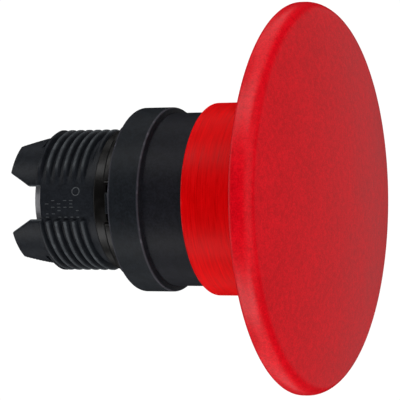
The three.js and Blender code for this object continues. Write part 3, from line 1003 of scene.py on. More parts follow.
@dataclass
class MushroomCap:
    """The red cap: a shallow dome with a rounded rim, hollow and ribbed underneath."""

    span: Span
    back_edge: float = 1.1
    front_edge: float = 2.4
    side: float = 0.05
    rim_slope: float = 9.5
    crown_inset: float = 0.33
    rim_wall: float = 2.7
    face_wall: float = 2.5
    collar_inner: float = 15.23
    collar_outer: float = 17.0
    collar_rear: float = 28.8
    hub_face: float = 32.5
    boss_radius: float = 4.9
    boss_rear: float = 31.4
    hole_radius: float = 2.75
    hole_top: float = 34.4
    ribs: int = 12
    rib_half: float = 0.6
    rib_edge: float = 0.22
    rib_root: float = 0.4

    def crown(self) -> float:
        """Height of the crown."""
        return self.span.front - self.crown_inset

    def back_face(self) -> float:
        """Height of the rim's rear face."""
        return self.front_centre() - self.side - self.back_edge

    def front_centre(self) -> float:
        """Height of the centre of the rim's front rounding.

        Returns:
            The height in millimetres.
        """
        slope = math.radians(self.rim_slope)
        sphere = self.sphere()
        return self.crown() - sphere * (1 - math.cos(slope)) - self.front_edge * math.cos(slope)

    def sphere(self) -> float:
        """Radius of the sphere that the face belongs to."""
        slope = math.radians(self.rim_slope)
        return (self.span.radius - self.front_edge * (1 - math.sin(slope))) / math.sin(slope)

    def dome(self, radius: float, wall: float) -> float:
        """Height of the face at a radius, a wall's thickness under it."""
        sphere = self.sphere()
        return self.crown() - sphere + math.sqrt((sphere - wall) ** 2 - radius**2)

    def outline(self) -> list[Corner]:
        """The cap's outline, from the insert's hole round to the crown.

        Returns:
            Its corners.
        """
        inner = self.span.radius - self.rim_wall
        sphere = self.sphere()
        edge = self.span.radius - self.front_edge
        inner_dome = [
            (radius, self.dome(radius, self.face_wall), 0.0)
            for radius in np.linspace(self.collar_outer, inner, 7)[1:-1]
        ]
        return [
            (0.0, self.hole_top, 0.0),
            (self.hole_radius, self.hole_top, 0.1),
            (self.hole_radius, self.boss_rear, 0.15),
            (self.boss_radius, self.boss_rear, 0.25),
            (self.boss_radius, self.hub_face, 0.3),
            (self.collar_inner, self.hub_face, 0.2),
            (self.collar_inner, self.collar_rear, 0.25),
            (self.collar_outer, self.collar_rear, 0.35),
            (self.collar_outer, self.dome(self.collar_outer, self.face_wall), 0.6),
            *inner_dome,
            (inner, self.dome(inner, self.face_wall), 0.7),
            (inner, self.back_face(), 0.3),
            (self.span.radius, self.back_face(), self.back_edge),
            *arc((edge, self.front_centre()), self.front_edge, 0.0, 90.0 - self.rim_slope, 12),
            *arc((0.0, self.crown() - sphere), sphere, 90.0 - self.rim_slope, 90.0, 26)[1:-1],
            (0.0, self.crown(), 0.0),
        ]

    def build(self, finishes: Finishes) -> None:
        """Makes the cap and the ribs under it.

        Args:
            finishes: the head's finishes.
        """
        cap = turned("mushroom_cap_shell", self.outline())
        carry(cap, Body.BUTTON, finishes.cap, ["mushroom_cap"])
        inner = self.span.radius - self.rim_wall
        front = self.dome(inner, self.face_wall) + 0.5
        rear = self.back_face() + 0.55
        low = Vector((-self.rib_half, -front, self.collar_outer - self.rib_root))
        high = Vector((self.rib_half, -rear, inner + self.rib_root))
        rib = block("rib", low, high, self.rib_edge)
        ribs = ring_of("mushroom_cap_ribs", rib, self.ribs, 0.0, finishes.cap)
        carry(ribs, Body.BUTTON, finishes.cap)


@dataclass
class CapSkirt:
    """The red sleeve behind the cap, with the flange that is clamped under it."""

    span: Span
    wall: float = 1.1
    hole: float = 5.3
    flange: float = 1.3

    def build(self, finishes: Finishes) -> None:
        """Makes the sleeve.

        Args:
            finishes: the head's finishes.
        """
        inner = self.span.radius - self.wall
        floor = self.span.front - self.flange
        outline = [
            (self.hole, floor, 0.1),
            (inner, floor, 0.3),
            (inner, self.span.rear, 0.35),
            (self.span.radius, self.span.rear, 0.38),
            (self.span.radius, self.span.front, 0.3),
            (self.hole, self.span.front, 0.1),
        ]
        skirt = turned("cap_skirt_sleeve", outline)
        carry(skirt, Body.BUTTON, finishes.skirt, ["cap_skirt"])


@dataclass
class CapHub:
    """The disc that carries skirt and cap, its sleeve, and the wiper seal on the sleeve."""

    span: Span
    seal: Span
    disc: float = 2.2
    hole: float = 5.3
    sleeve_inner: float = 9.3
    sleeve_outer: float = 10.4
    collar: float = 11.2
    collar_width: float = 0.7
    seal_room: float = 3.0

    def build(self, finishes: Finishes) -> None:
        """Makes the hub and the seal.

        Args:
            finishes: the head's finishes.
        """
        rear, front = self.span.rear, self.span.front
        disc = front - self.disc
        seal_rear = rear + self.collar_width
        seal_front = seal_rear + self.seal_room
        outline = [
            (self.hole, disc, 0.1),
            (self.sleeve_inner, disc, 0.3),
            (self.sleeve_inner, rear, 0.2),
            (self.collar, rear, 0.25),
            (self.collar, seal_rear, 0.12),
            (self.sleeve_outer, seal_rear, 0.1),
            (self.sleeve_outer, seal_front, 0.1),
            (self.collar, seal_front, 0.12),
            (self.collar, seal_front + self.collar_width, 0.2),
            (self.sleeve_outer, seal_front + self.collar_width, 0.2),
            (self.sleeve_outer, disc, 0.5),
            (self.span.radius, disc, 0.25),
            (self.span.radius, front, 0.25),
            (self.hole, front, 0.1),
        ]
        hub = turned("cap_hub_carrier", outline, Detail.PLAIN)
        carry(hub, Body.BUTTON, finishes.neck, ["cap_hub"])
        self.build_seal(finishes)

    def build_seal(self, finishes: Finishes) -> None:
        """Makes the wiper seal: a flat heel and two thin lips.

        Args:
            finishes: the head's finishes.
        """
        heel = self.sleeve_outer + 0.3
        rear, front, lip = self.seal.rear, self.seal.front, self.seal.radius
        outline = [
            (heel, rear, 0.1),
            (heel + 0.5, rear, 0.12),
            (lip - 0.05, rear + 0.35, 0.1),
            (lip - 0.02, rear + 0.6, 0.1),
            (heel + 0.45, rear + 0.8, 0.15),
            (heel + 0.5, front - 0.9, 0.15),
            (lip, front - 0.1, 0.06),
            (lip - 0.2, front, 0.06),
            (heel + 0.3, front - 0.55, 0.12),
            (heel, front - 0.5, 0.1),
        ]
        seal = turned("wiper_seal_lips", outline, Detail.PLAIN)
        carry(seal, Body.BUTTON, finishes.rubber, ["wiper_seal"])


@dataclass
class PlungerStem:
    """The hollow stem that joins cap and pusher, with its O-ring and spring washer."""

    span: Span
    washer: Span
    o_ring: Span
    radius: float = 6.0
    bore: float = 3.4
    tail: float = 4.8
    shoulder: float = -4.3
    clip_rear: float = -7.9
    clip_front: float = -6.5
    clip_groove: float = 4.3
    wall_rear: float = 24.5
    flange_rear: float = 26.1
    flange_front: float = 28.1
    spigot: float = 5.0
    screw_hole: float = 1.75
    groove_inner: float = 6.7
    groove_outer: float = 8.5
    groove_floor: float = 27.0

    def build(self, finishes: Finishes) -> None:
        """Makes the stem, its O-ring and the washer under its flange.

        Args:
            finishes: the head's finishes.
        """
        flange = self.span.radius
        outline = [
            (self.screw_hole, self.wall_rear, 0.1),
            (self.bore, self.wall_rear, 0.3),
            (self.bore, self.span.rear, 0.25),
            (self.tail, self.span.rear, 0.35),
            (self.tail, self.clip_rear, 0.06),
            (self.clip_groove, self.clip_rear, 0.06),
            (self.clip_groove, self.clip_front, 0.06),
            (self.tail, self.clip_front, 0.06),
            (self.tail, self.shoulder, 0.15),
            (self.radius, self.shoulder, 0.25),
            (self.radius, self.flange_rear, 0.4),
            (flange, self.flange_rear, 0.2),
            (flange, self.flange_front, 0.2),
            (self.groove_outer, self.flange_front, 0.08),
            (self.groove_outer, self.groove_floor, 0.1),
            (self.groove_inner, self.groove_floor, 0.1),
            (self.groove_inner, self.flange_front, 0.08),
            (self.spigot, self.flange_front, 0.1),
            (self.spigot, self.span.front, 0.25),
            (self.screw_hole, self.span.front, 0.1),
        ]
        stem = turned("plunger_stem_tube", outline, Detail.PLAIN)
        carry(stem, Body.BUTTON, finishes.slide, ["plunger_stem"])
        ring = o_ring("stem_o_ring_seal", self.o_ring, 0.4)
        carry(ring, Body.BUTTON, finishes.rubber, ["stem_o_ring"])
        washer = flat_washer("front_spring_washer_plate", self.washer, 6.4)
        carry(washer, Body.BUTTON, finishes.steel, ["front_spring_washer"])


def o_ring(name: str, span: Span, section: float) -> bpy.types.Object:
    """An O-ring with the fine mould flash on its inner diameter.

    Args:
        name: the piece's name.
        span: the CAD ring's span.
        section: radius of the rubber's round section.

    Returns:
        The ring.
    """
    flash = 0.025
    middle = (span.rear + span.front) / 2
    circle = arc((span.radius - section, middle), section, 0.0, 360.0, 28)[:-1]
    inner = len(circle) // 2
    radius, height, fillet = circle[inner]
    circle[inner] = (radius - flash, height, fillet)
    return turned(name, circle, Detail.PLAIN)


def flat_washer(name: str, span: Span, hole: float) -> bpy.types.Object:
    """A stamped washer, rounded on the punch side and sharp on the other.

    Args:
        name: the piece's name.
        span: the CAD washer's span.
        hole: radius of its hole.

    Returns:
        The washer.
    """
    edge = 0.3 * (span.front - span.rear)
    outline = [
        (hole, span.rear, edge),
        (span.radius, span.rear, edge),
        (span.radius, span.front, edge * 0.3),
        (hole, span.front, edge * 0.3),
    ]
    return turned(name, outline, Detail.PLAIN)


@dataclass
class PusherRing:
    """The grey cup at the rear that works the contact blocks, with its circlip."""

    span: Span
    clip: Span
    flat: float = 7.4
    wall: float = 1.4
    flat_wall: float = 1.2
    tip_step: float = 0.15
    tip_length: float = 0.9
    web_rear: float = -6.3
    web_front: float = -4.6
    hole: float = 5.1
    ribs: int = 2
    rib_half: float = 0.5
    rib_height: float = 2.2
    sharpness: float = 26.0
    clip_hole: float = 4.55
    clip_gap: float = 1.6

    def flat_at(self, radius: float) -> float:
        """Distance of the two flats from the axis, for an outline point.

        Args:
            radius: the point's radius.

        Returns:
            The distance; on the round hole it lies outside the radius.
        """
        inner = self.span.radius - self.wall
        share = min(max((radius - self.hole) / (inner - self.hole), 0.0), 1.0)
        flat = self.hole + 0.02 + share * (self.flat - self.flat_wall - self.hole)
        flat += max(0.0, radius - inner) / self.wall * self.flat_wall
        return flat if share > 0.0 else max(flat, 1.4 * radius)

    def outline(self) -> list[Corner]:
        """The cup's outline, with the web across its middle.

        Returns:
            Its corners.
        """
        outer = self.span.radius
        inner = outer - self.wall
        tip = outer - self.tip_step
        rear, front = self.span.rear, self.span.front
        return [
            (inner, rear, 0.15),
            (tip, rear, 0.22),
            (tip, rear + self.tip_length, 0.05),
            (outer, rear + self.tip_length, 0.15),
            (outer, front, 0.25),
            (inner, front, 0.2),
            (inner, self.web_front, 0.35),
            (self.hole, self.web_front, 0.15),
            (self.hole, self.web_rear, 0.15),
            (inner, self.web_rear, 0.35),
        ]

    def build(self, finishes: Finishes) -> None:
        """Makes the cup, its ribs and the circlip.

        Args:
            finishes: the head's finishes.
        """
        points, rub_and_highlight = rounded(self.outline())
        points, rub_and_highlight = np.vstack([points, points[:1]]), np.append(rub_and_highlight, rub_and_highlight[0])
        clock = np.linspace(0.0, FULL_TURN, Detail.FINE.value, endpoint=False)
        rings = [flatted(clock, r, self.flat_at(r), self.sharpness) for r in points[:, 0]]
        shell = Shell()
        shell.grid(np.array(rings), clock, points[:, 1:], True, rub_and_highlight[:, None])
        cup = shell.mesh("pusher_ring_cup")
        carry(cup, Body.BUTTON, finishes.slide, ["pusher_ring"])
        self.build_ribs(finishes)
        self.build_clip(finishes)

    def build_ribs(self, finishes: Finishes) -> None:
        """Makes the ribs that stiffen the web from behind.

        Args:
            finishes: the head's finishes.
        """
        inner = self.span.radius - self.wall
        low = Vector((-self.rib_half, -self.web_rear - 0.3, self.clip.radius + 0.35))
        high = Vector((self.rib_half, -self.web_rear + self.rib_height, inner + 0.2))
        rib = block("pusher_rib", low, high, 0.15)
        quarter = FULL_TURN / 4
        ribs = ring_of("pusher_ring_ribs", rib, self.ribs, quarter, finishes.slide)
        carry(ribs, Body.BUTTON, finishes.slide)

    def build_clip(self, finishes: Finishes) -> None:
        """Makes the spring-steel circlip with the gap at 6 o'clock.

        Args:
            finishes: the head's finishes.
        """
        edge = 0.12
        outline = [
            (self.clip_hole, self.clip.rear, edge),
            (self.clip.radius, self.clip.rear, edge),
            (self.clip.radius, self.clip.front, edge),
            (self.clip_hole, self.clip.front, edge),
        ]
        half = math.asin(self.clip_gap / self.clip.radius)
        sector = (-math.pi + half, math.pi - half)
        clip = turned("pusher_circlip_ring", outline, Detail.PLAIN, sector)
        carry(clip, Body.BUTTON, finishes.steel, ["pusher_circlip"])


@dataclass
class CapFixing:
    """The screw that draws the cap onto the stem, its washer and the brass insert."""

    screw: Span
    washer: Span
    insert: Span
    head_front: float = 23.4
    shank: float = 1.4
    core: float = 1.15
    pitch: float = 0.5
    run_out: float = 0.4
    recess: float = 0.8
    recess_depth: float = 1.1
    insert_bore: float = 1.7
    knurls: int = 24
    knurl_half: float = 0.14
    knurl_depth: float = 0.18

    def thread_radius(self, clock: np.ndarray, height: np.ndarray) -> np.ndarray:
        """Radius of the screw's thread, fading out at both ends.

        Args:
            clock: clock angles.
            height: heights.

        Returns:
            The radius at each place.
        """
        phase = (height - self.pitch * clock / FULL_TURN) / self.pitch
        ridge = np.abs((phase % 1.0) - 0.5) * 2.0
        from_end = np.minimum(height - self.head_front - 0.3, self.screw.front - 0.5 - height)
        ends = np.clip(from_end / self.run_out, 0, 1)
        return self.core + (self.shank - self.core) * ridge * ends

    def build(self, finishes: Finishes) -> None:
        """Makes the three pieces.

        Args:
            finishes: the head's finishes.
        """
        self.build_screw(finishes)
        washer = flat_washer("screw_lock_washer_plate", self.washer, 1.75)
        carry(washer, Body.BUTTON, finishes.steel, ["screw_lock_washer"])
        self.build_insert(finishes)

    def build_screw(self, finishes: Finishes) -> None:
        """Makes the screw with its domed head, cross recess and thread.

        Args:
            finishes: the head's finishes.
        """
        clock = np.linspace(0.0, FULL_TURN, Detail.SMALL.value, endpoint=False)
        neck = self.head_front + 0.2
        tip = self.screw.front - 0.35
        head, rub_and_highlight = rounded(
            [
                (0.0, self.screw.rear, 0.0),
                (self.screw.radius * 0.62, self.screw.rear + 0.08, 0.6),
                (self.screw.radius, self.screw.rear + 0.75, 0.35),
                (self.screw.radius, self.head_front, 0.15),
                (self.core, self.head_front, 0.1),
                (self.core, neck, 0.0),
            ],
            closed=False,
        )
        end = np.array([(self.core, tip), (self.core - 0.3, self.screw.front), (0.0, self.screw.front)])
        shell = Shell()
        shell.grid(head[:, :1] + 0 * clock, clock, head[:, 1:], True, rub_and_highlight[:, None])
        shell.grid(end[:, :1] + 0 * clock, clock, end[:, 1:])
        rows = 6
        levels = np.arange(neck - self.pitch, tip + self.pitch + 1e-6, self.pitch / rows)
        shell.helix(clock, levels, self.pitch, rows, (neck, tip), self.thread_radius)
        screw = shell.mesh("cap_screw_cross_head")
        reach = self.screw.radius * 0.6
        rear = -self.screw.rear + 0.5
        floor = -self.screw.rear - self.recess_depth
        half = self.recess / 2
        slots = [
            block("slot_across", Vector((-reach, floor, -half)), Vector((reach, rear, half)), 0.12),
            block("slot_up", Vector((-half, floor, -reach)), Vector((half, rear, reach)), 0.12),
        ]
        combine(screw, slots, "DIFFERENCE")
        carry(screw, Body.BUTTON, finishes.steel, ["cap_screw"])

    def build_insert(self, finishes: Finishes) -> None:
        """Makes the brass insert and its knurls.

        Args:
            finishes: the head's finishes.
        """
        core = self.insert.radius - self.knurl_depth
        rear, front = self.insert.rear, self.insert.front
        outline = [
            (self.insert_bore, rear, 0.1),
            (core, rear, 0.12),
            (core, front, 0.12),
            (self.insert_bore, front, 0.1),
        ]
        insert = turned("threaded_insert_bush", outline, Detail.SMALL)
        carry(insert, Body.BUTTON, finishes.brass, ["threaded_insert"])
        low = Vector((-self.knurl_half, -front + 0.2, core - 0.1))
        high = Vector((self.knurl_half, -rear - 0.2, self.insert.radius - 0.02))
        knurl = block("knurl", low, high, 0.06)
        knurls = ring_of("threaded_insert_knurls", knurl, self.knurls, 0.0, finishes.brass)
        carry(knurls, Body.BUTTON, finishes.brass)


# ------------------------------------------------------------------ the still housing


@dataclass
class GuideNeck:
    """The black sleeve that the skirt slides over, with the O-ring under its floor."""

    span: Span
    o_ring: Span
    bore: float = 12.0
    floor_front: float = 7.6
    hole: float = 10.4

    def build(self, finishes: Finishes) -> None:
        """Makes the neck and its O-ring.

        Args:
            finishes: the head's finishes.
        """
        outline = [
            (self.hole, self.span.rear, 0.1),
            (self.span.radius, self.span.rear, 0.2),
            (self.span.radius, self.span.front, 0.45),
            (self.bore, self.span.front, 0.35),
            (self.bore, self.floor_front, 0.3),
            (self.hole, self.floor_front, 0.15),
        ]
        neck = turned("guide_neck_sleeve", outline)
        carry(neck, Body.HOUSING, finishes.neck, ["guide_neck"])
        ring = o_ring("neck_o_ring_seal", self.o_ring, 0.4)
        carry(ring, Body.HOUSING, finishes.rubber, ["neck_o_ring"])


@dataclass
class BezelRing:
    """The black ring on the panel, with a bevelled front edge that meets the neck."""

    span: Span
    bore: float = 13.52
    lip_hole: float = 11.2
    lip: float = 1.1
    rear_edge: float = 0.45
    bevel: float = 0.42
    front_edge: float = 0.4

    def build(self, finishes: Finishes) -> None:
        """Makes the ring.

        Args:
            finishes: the head's finishes.
        """
        outline = [
            (self.lip_hole, self.span.rear, 0.12),
            (self.span.radius, self.span.rear, self.rear_edge),
            (self.span.radius, self.span.front - self.bevel, self.front_edge),
            (self.bore, self.span.front, 0.06),
            (self.bore, self.span.rear + self.lip, 0.1),
            (self.lip_hole, self.span.rear + self.lip, 0.12),
        ]
        bezel = turned("bezel_ring_collar", outline)
        carry(bezel, Body.HOUSING, finishes.bezel, ["bezel_ring"])


@dataclass
class PanelGasket:
    """The rubber ring on the panel: a notched flange on a thin sleeve that lines the hole."""

    span: Span
    hole: float = 10.4
    sleeve: float = 11.0
    relief: float = 11.3
    relief_depth: float = 0.2
    flange_rear: float = 1.0
    bevel: float = 0.35
    notch: float = 6.4

    def build(self, finishes: Finishes) -> None:
        """Makes the sleeve and the flange, which share the rubber at the flange's rear face.

        Args:
            finishes: the head's finishes.
        """
        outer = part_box("panel_gasket")[1].z / MM
        front, seat = self.span.front, self.flange_rear
        sleeve = turned(
            "panel_gasket_sleeve",
            [
                (self.hole, self.span.rear, 0.1),
                (self.sleeve, self.span.rear, 0.22),
                (self.sleeve, seat, 0.05),
                (self.hole, seat, 0.05),
            ],
        )
        carry(sleeve, Body.HOUSING, finishes.rubber, ["panel_gasket"])
        outline = [
            (self.hole, seat - 0.1, 0.02),
            (self.sleeve - 0.02, seat - 0.1, 0.02),
            (self.sleeve - 0.02, seat + self.relief_depth, 0.05),
            (self.relief, seat + self.relief_depth, 0.05),
            (self.relief, seat, 0.06),
            (outer - self.bevel, seat, 0.1),
            (outer, seat + self.bevel, 0.12),
            (outer, front, 0.25),
            (self.hole, front, 0.1),
        ]
        half = math.asin(self.notch / 2 / outer)
        middle = FULL_TURN / 4
        sector = (middle + half, middle + FULL_TURN - half)
        flange = turned("panel_gasket_flange", outline, Detail.FINE, sector)
        carry(flange, Body.HOUSING, finishes.rubber)


@dataclass
class ThreadedBody:
    """The black barrel: thread, marking pads, claws with catches, key, web and front flange."""

    span: Span
    root: float = 10.1
    crest: float = 10.92
    crown: float = 0.2
    crown_reach: float = math.radians(9.0)
    pitch: float = 1.5
    top_crest: float = -9.9
    ridge_start: float = -1.15
    ridge_end: float = 5.15
    run_out: float = 0.12
    relief_rear: float = -0.9
    pad: float = math.radians(15.6)
    pad_fade: float = math.radians(17.4)
    gap_floor: float = -10.75
    flare_from: float = -13.0
    flare: float = math.radians(12.6)
    ramp_rear: float = 8.7
    ramp_front: float = 10.05
    catch_front: float = -12.5
    slot_floor: float = 8.6
    slot_front: float = -11.6
    bore: float = 9.35
    bore_flat: float = 7.75
    web_rear: float = -1.7
    seat: float = 10.85
    seat_rear: float = 2.8
    key_reach: float = 11.9
    key_rear: float = 1.3
    key_front: float = 2.5
    key_half: float = 1.6
    groove_outer: float = 12.8
    groove_inner: float = 11.2
    groove_floor: float = 5.0
    cup: float = 9.3
    cup_floor: float = 4.6
    guide_hole: float = 7.2
    flange_rear: float = 4.2
    flange_front: float = 6.0
    spigot: float = 10.1
    edge: float = 0.2
    flank_foot: float = 0.50
    flank: float = 0.33
    flank_power: float = 1.3
    sharpness: float = 30.0
    catch_step: float = 0.01
    thread_levels: tuple = (0.0, 0.1, 0.17, 0.23, 0.32, 0.42, 0.5, 0.62)
    claw_columns: int = 64
    gap_columns: int = 20

    # ---- the rule of the surface

    def pad_share(self, clock: np.ndarray) -> np.ndarray:
        """Share of the ridge left beside the pads at 3 and 9 o'clock: sharp below, faded above.

        Args:
            clock: clock angles.

        Returns:
            The share at each clock angle.
        """
        half_turn = np.mod(clock - FULL_TURN / 4, math.pi)
        past = half_turn > self.pad
        before = np.clip((math.pi - self.pad - half_turn) / self.pad_fade, 0.0, 1.0)
        return np.where(past, before * before * (3 - 2 * before), 0.0)

    def ridge(self, clock: np.ndarray, height: np.ndarray) -> np.ndarray:
        """Height of the thread above its root at a place.

        Args:
            clock: clock angles.
            height: heights.

        Returns:
            The ridge's height above the root.
        """
        turns = (height - self.top_crest) / self.pitch - clock / FULL_TURN
        offset = (turns - np.round(turns)) * self.pitch
        along = np.round(turns) + clock / FULL_TURN
        flank = np.clip((self.flank_foot - np.abs(offset)) / self.flank, 0.0, 1.0)
        shape = np.sin(flank * math.pi / 2) ** self.flank_power
        from_end = np.minimum(along - self.ridge_start, self.ridge_end - along)
        ends = np.clip(from_end / self.run_out, 0, 1)
        from_crown = (np.mod(clock + math.pi / 2, math.pi) - math.pi / 2) / self.crown_reach
        full = self.crest - self.root + self.crown * np.exp(-from_crown * from_crown)
        return full * shape * ends * self.pad_share(clock)

    def outer(self, clock: np.ndarray, height: np.ndarray) -> np.ndarray:
        """Outer radius at a place behind the seat, claws included.

        Args:
            clock: clock angles.
            height: heights.

        Returns:
            The radius at each place.
        """
        slope = (self.ramp_front - self.ramp_rear) / (self.catch_front - self.span.rear)
        ramp = self.ramp_rear + (height - self.span.rear) * slope
        flat = np.where(height < self.catch_front, ramp, self.slot_floor)
        chord = flat / np.maximum(np.abs(np.cos(clock)), 1e-3)
        behind = height < self.slot_front
        base = np.where(behind, np.minimum(self.root, chord), self.root)
        return base + np.where(behind, 0.0, self.ridge(clock, height))

    def inner(self, clock: np.ndarray) -> np.ndarray:
        """Radius of the flatted bore."""
        return flatted(clock, self.bore, self.bore_flat, self.sharpness)

    # ---- columns and rows

    def claw_half_angle(self, height: np.ndarray) -> np.ndarray:
        """Half the angle that a claw covers at a height.

        Args:
            height: heights.

        Returns:
            The angle in radians.
        """
        share = np.clip((self.flare_from - height) / (self.flare_from - self.span.rear), 0.0, 1.0)
        return FULL_TURN / 4 - self.pad - self.flare * share

    def claw_shares(self) -> np.ndarray:
        """Columns across a claw from -1 to 1, close together at its edges.

        Returns:
            The columns.
        """
        half = self.root * (FULL_TURN / 4 - self.pad)
        rim = np.array([0.0, 0.02, 0.06, 0.12, 0.2]) / half
        middle = np.linspace(-1.0 + 0.5 / half, 1.0 - 0.5 / half, self.claw_columns - 2 * len(rim))
        return np.concatenate([-1.0 + rim, middle, (1.0 - rim)[::-1]])

    def columns(self) -> np.ndarray:
        """Clock angles of every column of the tube, over both claws and both gaps.

        Returns:
            The angles, rising from 0.
        """
        half = float(self.claw_half_angle(np.array(self.gap_floor)))
        claw = self.claw_shares() * half
        gap = np.linspace(half, math.pi - half, self.gap_columns + 2)[1:-1]
        return np.sort(np.concatenate([claw, gap, claw + math.pi, gap + math.pi]) % FULL_TURN)

    def front_outline(self) -> list[Corner]:
        """The front end's outline, from the thread's relief round to the bore's web.

        Returns:
            Its corners.
        """
        return [
            (self.root, self.relief_rear, 0.0),
            (self.root, self.seat_rear, 0.15),
            (self.seat, self.seat_rear, 0.2),
            (self.seat, self.flange_rear, 0.15),
            (self.span.radius, self.flange_rear, 0.2),
            (self.span.radius, self.flange_front, 0.2),
            (self.groove_outer, self.flange_front, 0.08),
            (self.groove_outer, self.groove_floor, 0.1),
            (self.groove_inner, self.groove_floor, 0.1),
            (self.groove_inner, self.flange_front, 0.08),
            (self.spigot, self.flange_front, 0.1),
            (self.spigot, self.span.front, 0.2),
            (self.cup, self.span.front, 0.15),
            (self.cup, self.cup_floor, 0.2),
            (self.guide_hole, self.cup_floor, 0.15),
            (self.guide_hole, self.web_rear, 0.15),
            (self.bore, self.web_rear, 0.0),
        ]

    def build_tube(self, shell: Shell) -> None:
        """Adds the threaded wall, the front end and the bore down to the tube's rear end.

        Args:
            shell: what the strips are added to.
        """
        clock = self.columns()
        offsets = np.array([-x for x in self.thread_levels[:0:-1]] + list(self.thread_levels))
        pitches = np.arange(-3, 9)
        levels = (self.top_crest + pitches[:, None] * self.pitch + offsets[None, :]).ravel()
        limits = (self.gap_floor, self.relief_rear)
        shell.helix(clock, levels, self.pitch, len(offsets), limits, self.outer)
        front, rub_and_highlight = rounded(self.front_outline(), closed=False)
        radii = front[:, :1] + 0 * clock
        radii[-1] = self.inner(clock)
        shell.grid(radii, clock, front[:, 1:], True, rub_and_highlight[:, None])
        depth = np.linspace(self.web_rear, self.gap_floor, 6)[:, None]
        shell.grid(self.inner(clock) + 0 * depth, clock, depth + 0 * clock)

    def build_gap_floors(self, shell: Shell) -> None:
        """Adds the tube's end face in the two gaps between the claws.

        Args:
            shell: what the strips are added to.
        """
        half = float(self.claw_half_angle(np.array(self.gap_floor)))
        gap = np.linspace(half, math.pi - half, self.gap_columns + 2)
        for turn in (0.0, math.pi):
            clock = (gap + turn) % FULL_TURN
            height = np.full((2, len(clock)), self.gap_floor)
            radii = np.stack([self.outer(clock, height[0]), self.inner(clock)])
            shell.grid(radii, clock, height, around=False)

    def claw_rows(self) -> np.ndarray:
        """Heights of a claw's rows, close together where its shape changes.

        Returns:
            One height a row.
        """
        step = self.catch_step
        fine = np.arange(self.gap_floor, self.slot_front, -0.05)
        slot = (self.slot_front + step, self.slot_front - step)
        middle = ((self.slot_front + self.catch_front) / 2,)
        catch = (self.catch_front + step, self.catch_front - step)
        ramp = np.linspace(self.catch_front - 0.1, self.span.rear + 0.4, 16)
        end = self.span.rear + self.edge * np.array([1.2, 0.6, 0.3, 0.08, 0.0])
        return np.concatenate([fine, slot, middle, catch, ramp, end])[:, None]

    def build_claw(self, shell: Shell, turn: float) -> None:
        """Adds one claw behind the tube.

        Args:
            shell: what the strips are added to.
            turn: clock angle of the claw's middle.
        """
        rear = self.span.rear
        height = self.claw_rows()
        shares = self.claw_shares()[None, :]
        clock = shares * self.claw_half_angle(height)
        half_arc = self.root * self.claw_half_angle(height)
        from_side = (1.0 - np.abs(shares)) * half_arc
        grow = np.clip((self.gap_floor - height) / 0.3, 0.0, 1.0)
        side = self.fall(from_side) * grow
        end = self.fall(height - rear)
        lowered = np.maximum(side, end)
        outside = self.outer(clock, height + 0 * clock) - lowered
        inside = self.inner(clock) + lowered * 0.6
        # Claw edges get the light edge tint: rubbing and painted highlight.
        rub_and_highlight = np.clip(lowered / self.edge, 0.0, 1.0)
        shell.grid(outside, (clock + turn) % FULL_TURN, height, False, rub_and_highlight)
        shell.grid(inside, (clock + turn) % FULL_TURN, height, False, rub_and_highlight)
        for column in (0, -1):
            pair = np.stack([outside[:, column], inside[:, column]], axis=1)
            angle = (clock[:, column, None] + turn) % FULL_TURN
            shell.grid(pair, angle, height, False, 0.6)
        last = np.stack([outside[-1], inside[-1]])
        shell.grid(last, (clock[-1] + turn) % FULL_TURN, np.full((2, 1), rear), False, 0.6)

    def fall(self, distance: np.ndarray) -> np.ndarray:
        """How far a rounded edge drops at a distance in from it, in millimetres."""
        inside = np.clip(self.edge - distance, 0.0, self.edge)
        return self.edge - np.sqrt(self.edge**2 - inside**2)

    def build(self, finishes: Finishes) -> None:
        """Makes the body and joins the key to it.

        Args:
            finishes: the head's finishes.
        """
        shell = Shell()
        self.build_tube(shell)
        self.build_gap_floors(shell)
        self.build_claw(shell, 0.0)
        self.build_claw(shell, math.pi)
        body = shell.mesh("threaded_body_barrel")
        low = Vector((-self.key_reach, -self.key_front, -self.key_half))
        high = Vector((-self.root + 0.3, -self.key_rear, self.key_half))
        key = block("key", low, high, 0.12)
        combine(body, [key], "UNION")
        carry(body, Body.HOUSING, finishes.body, ["threaded_body"])


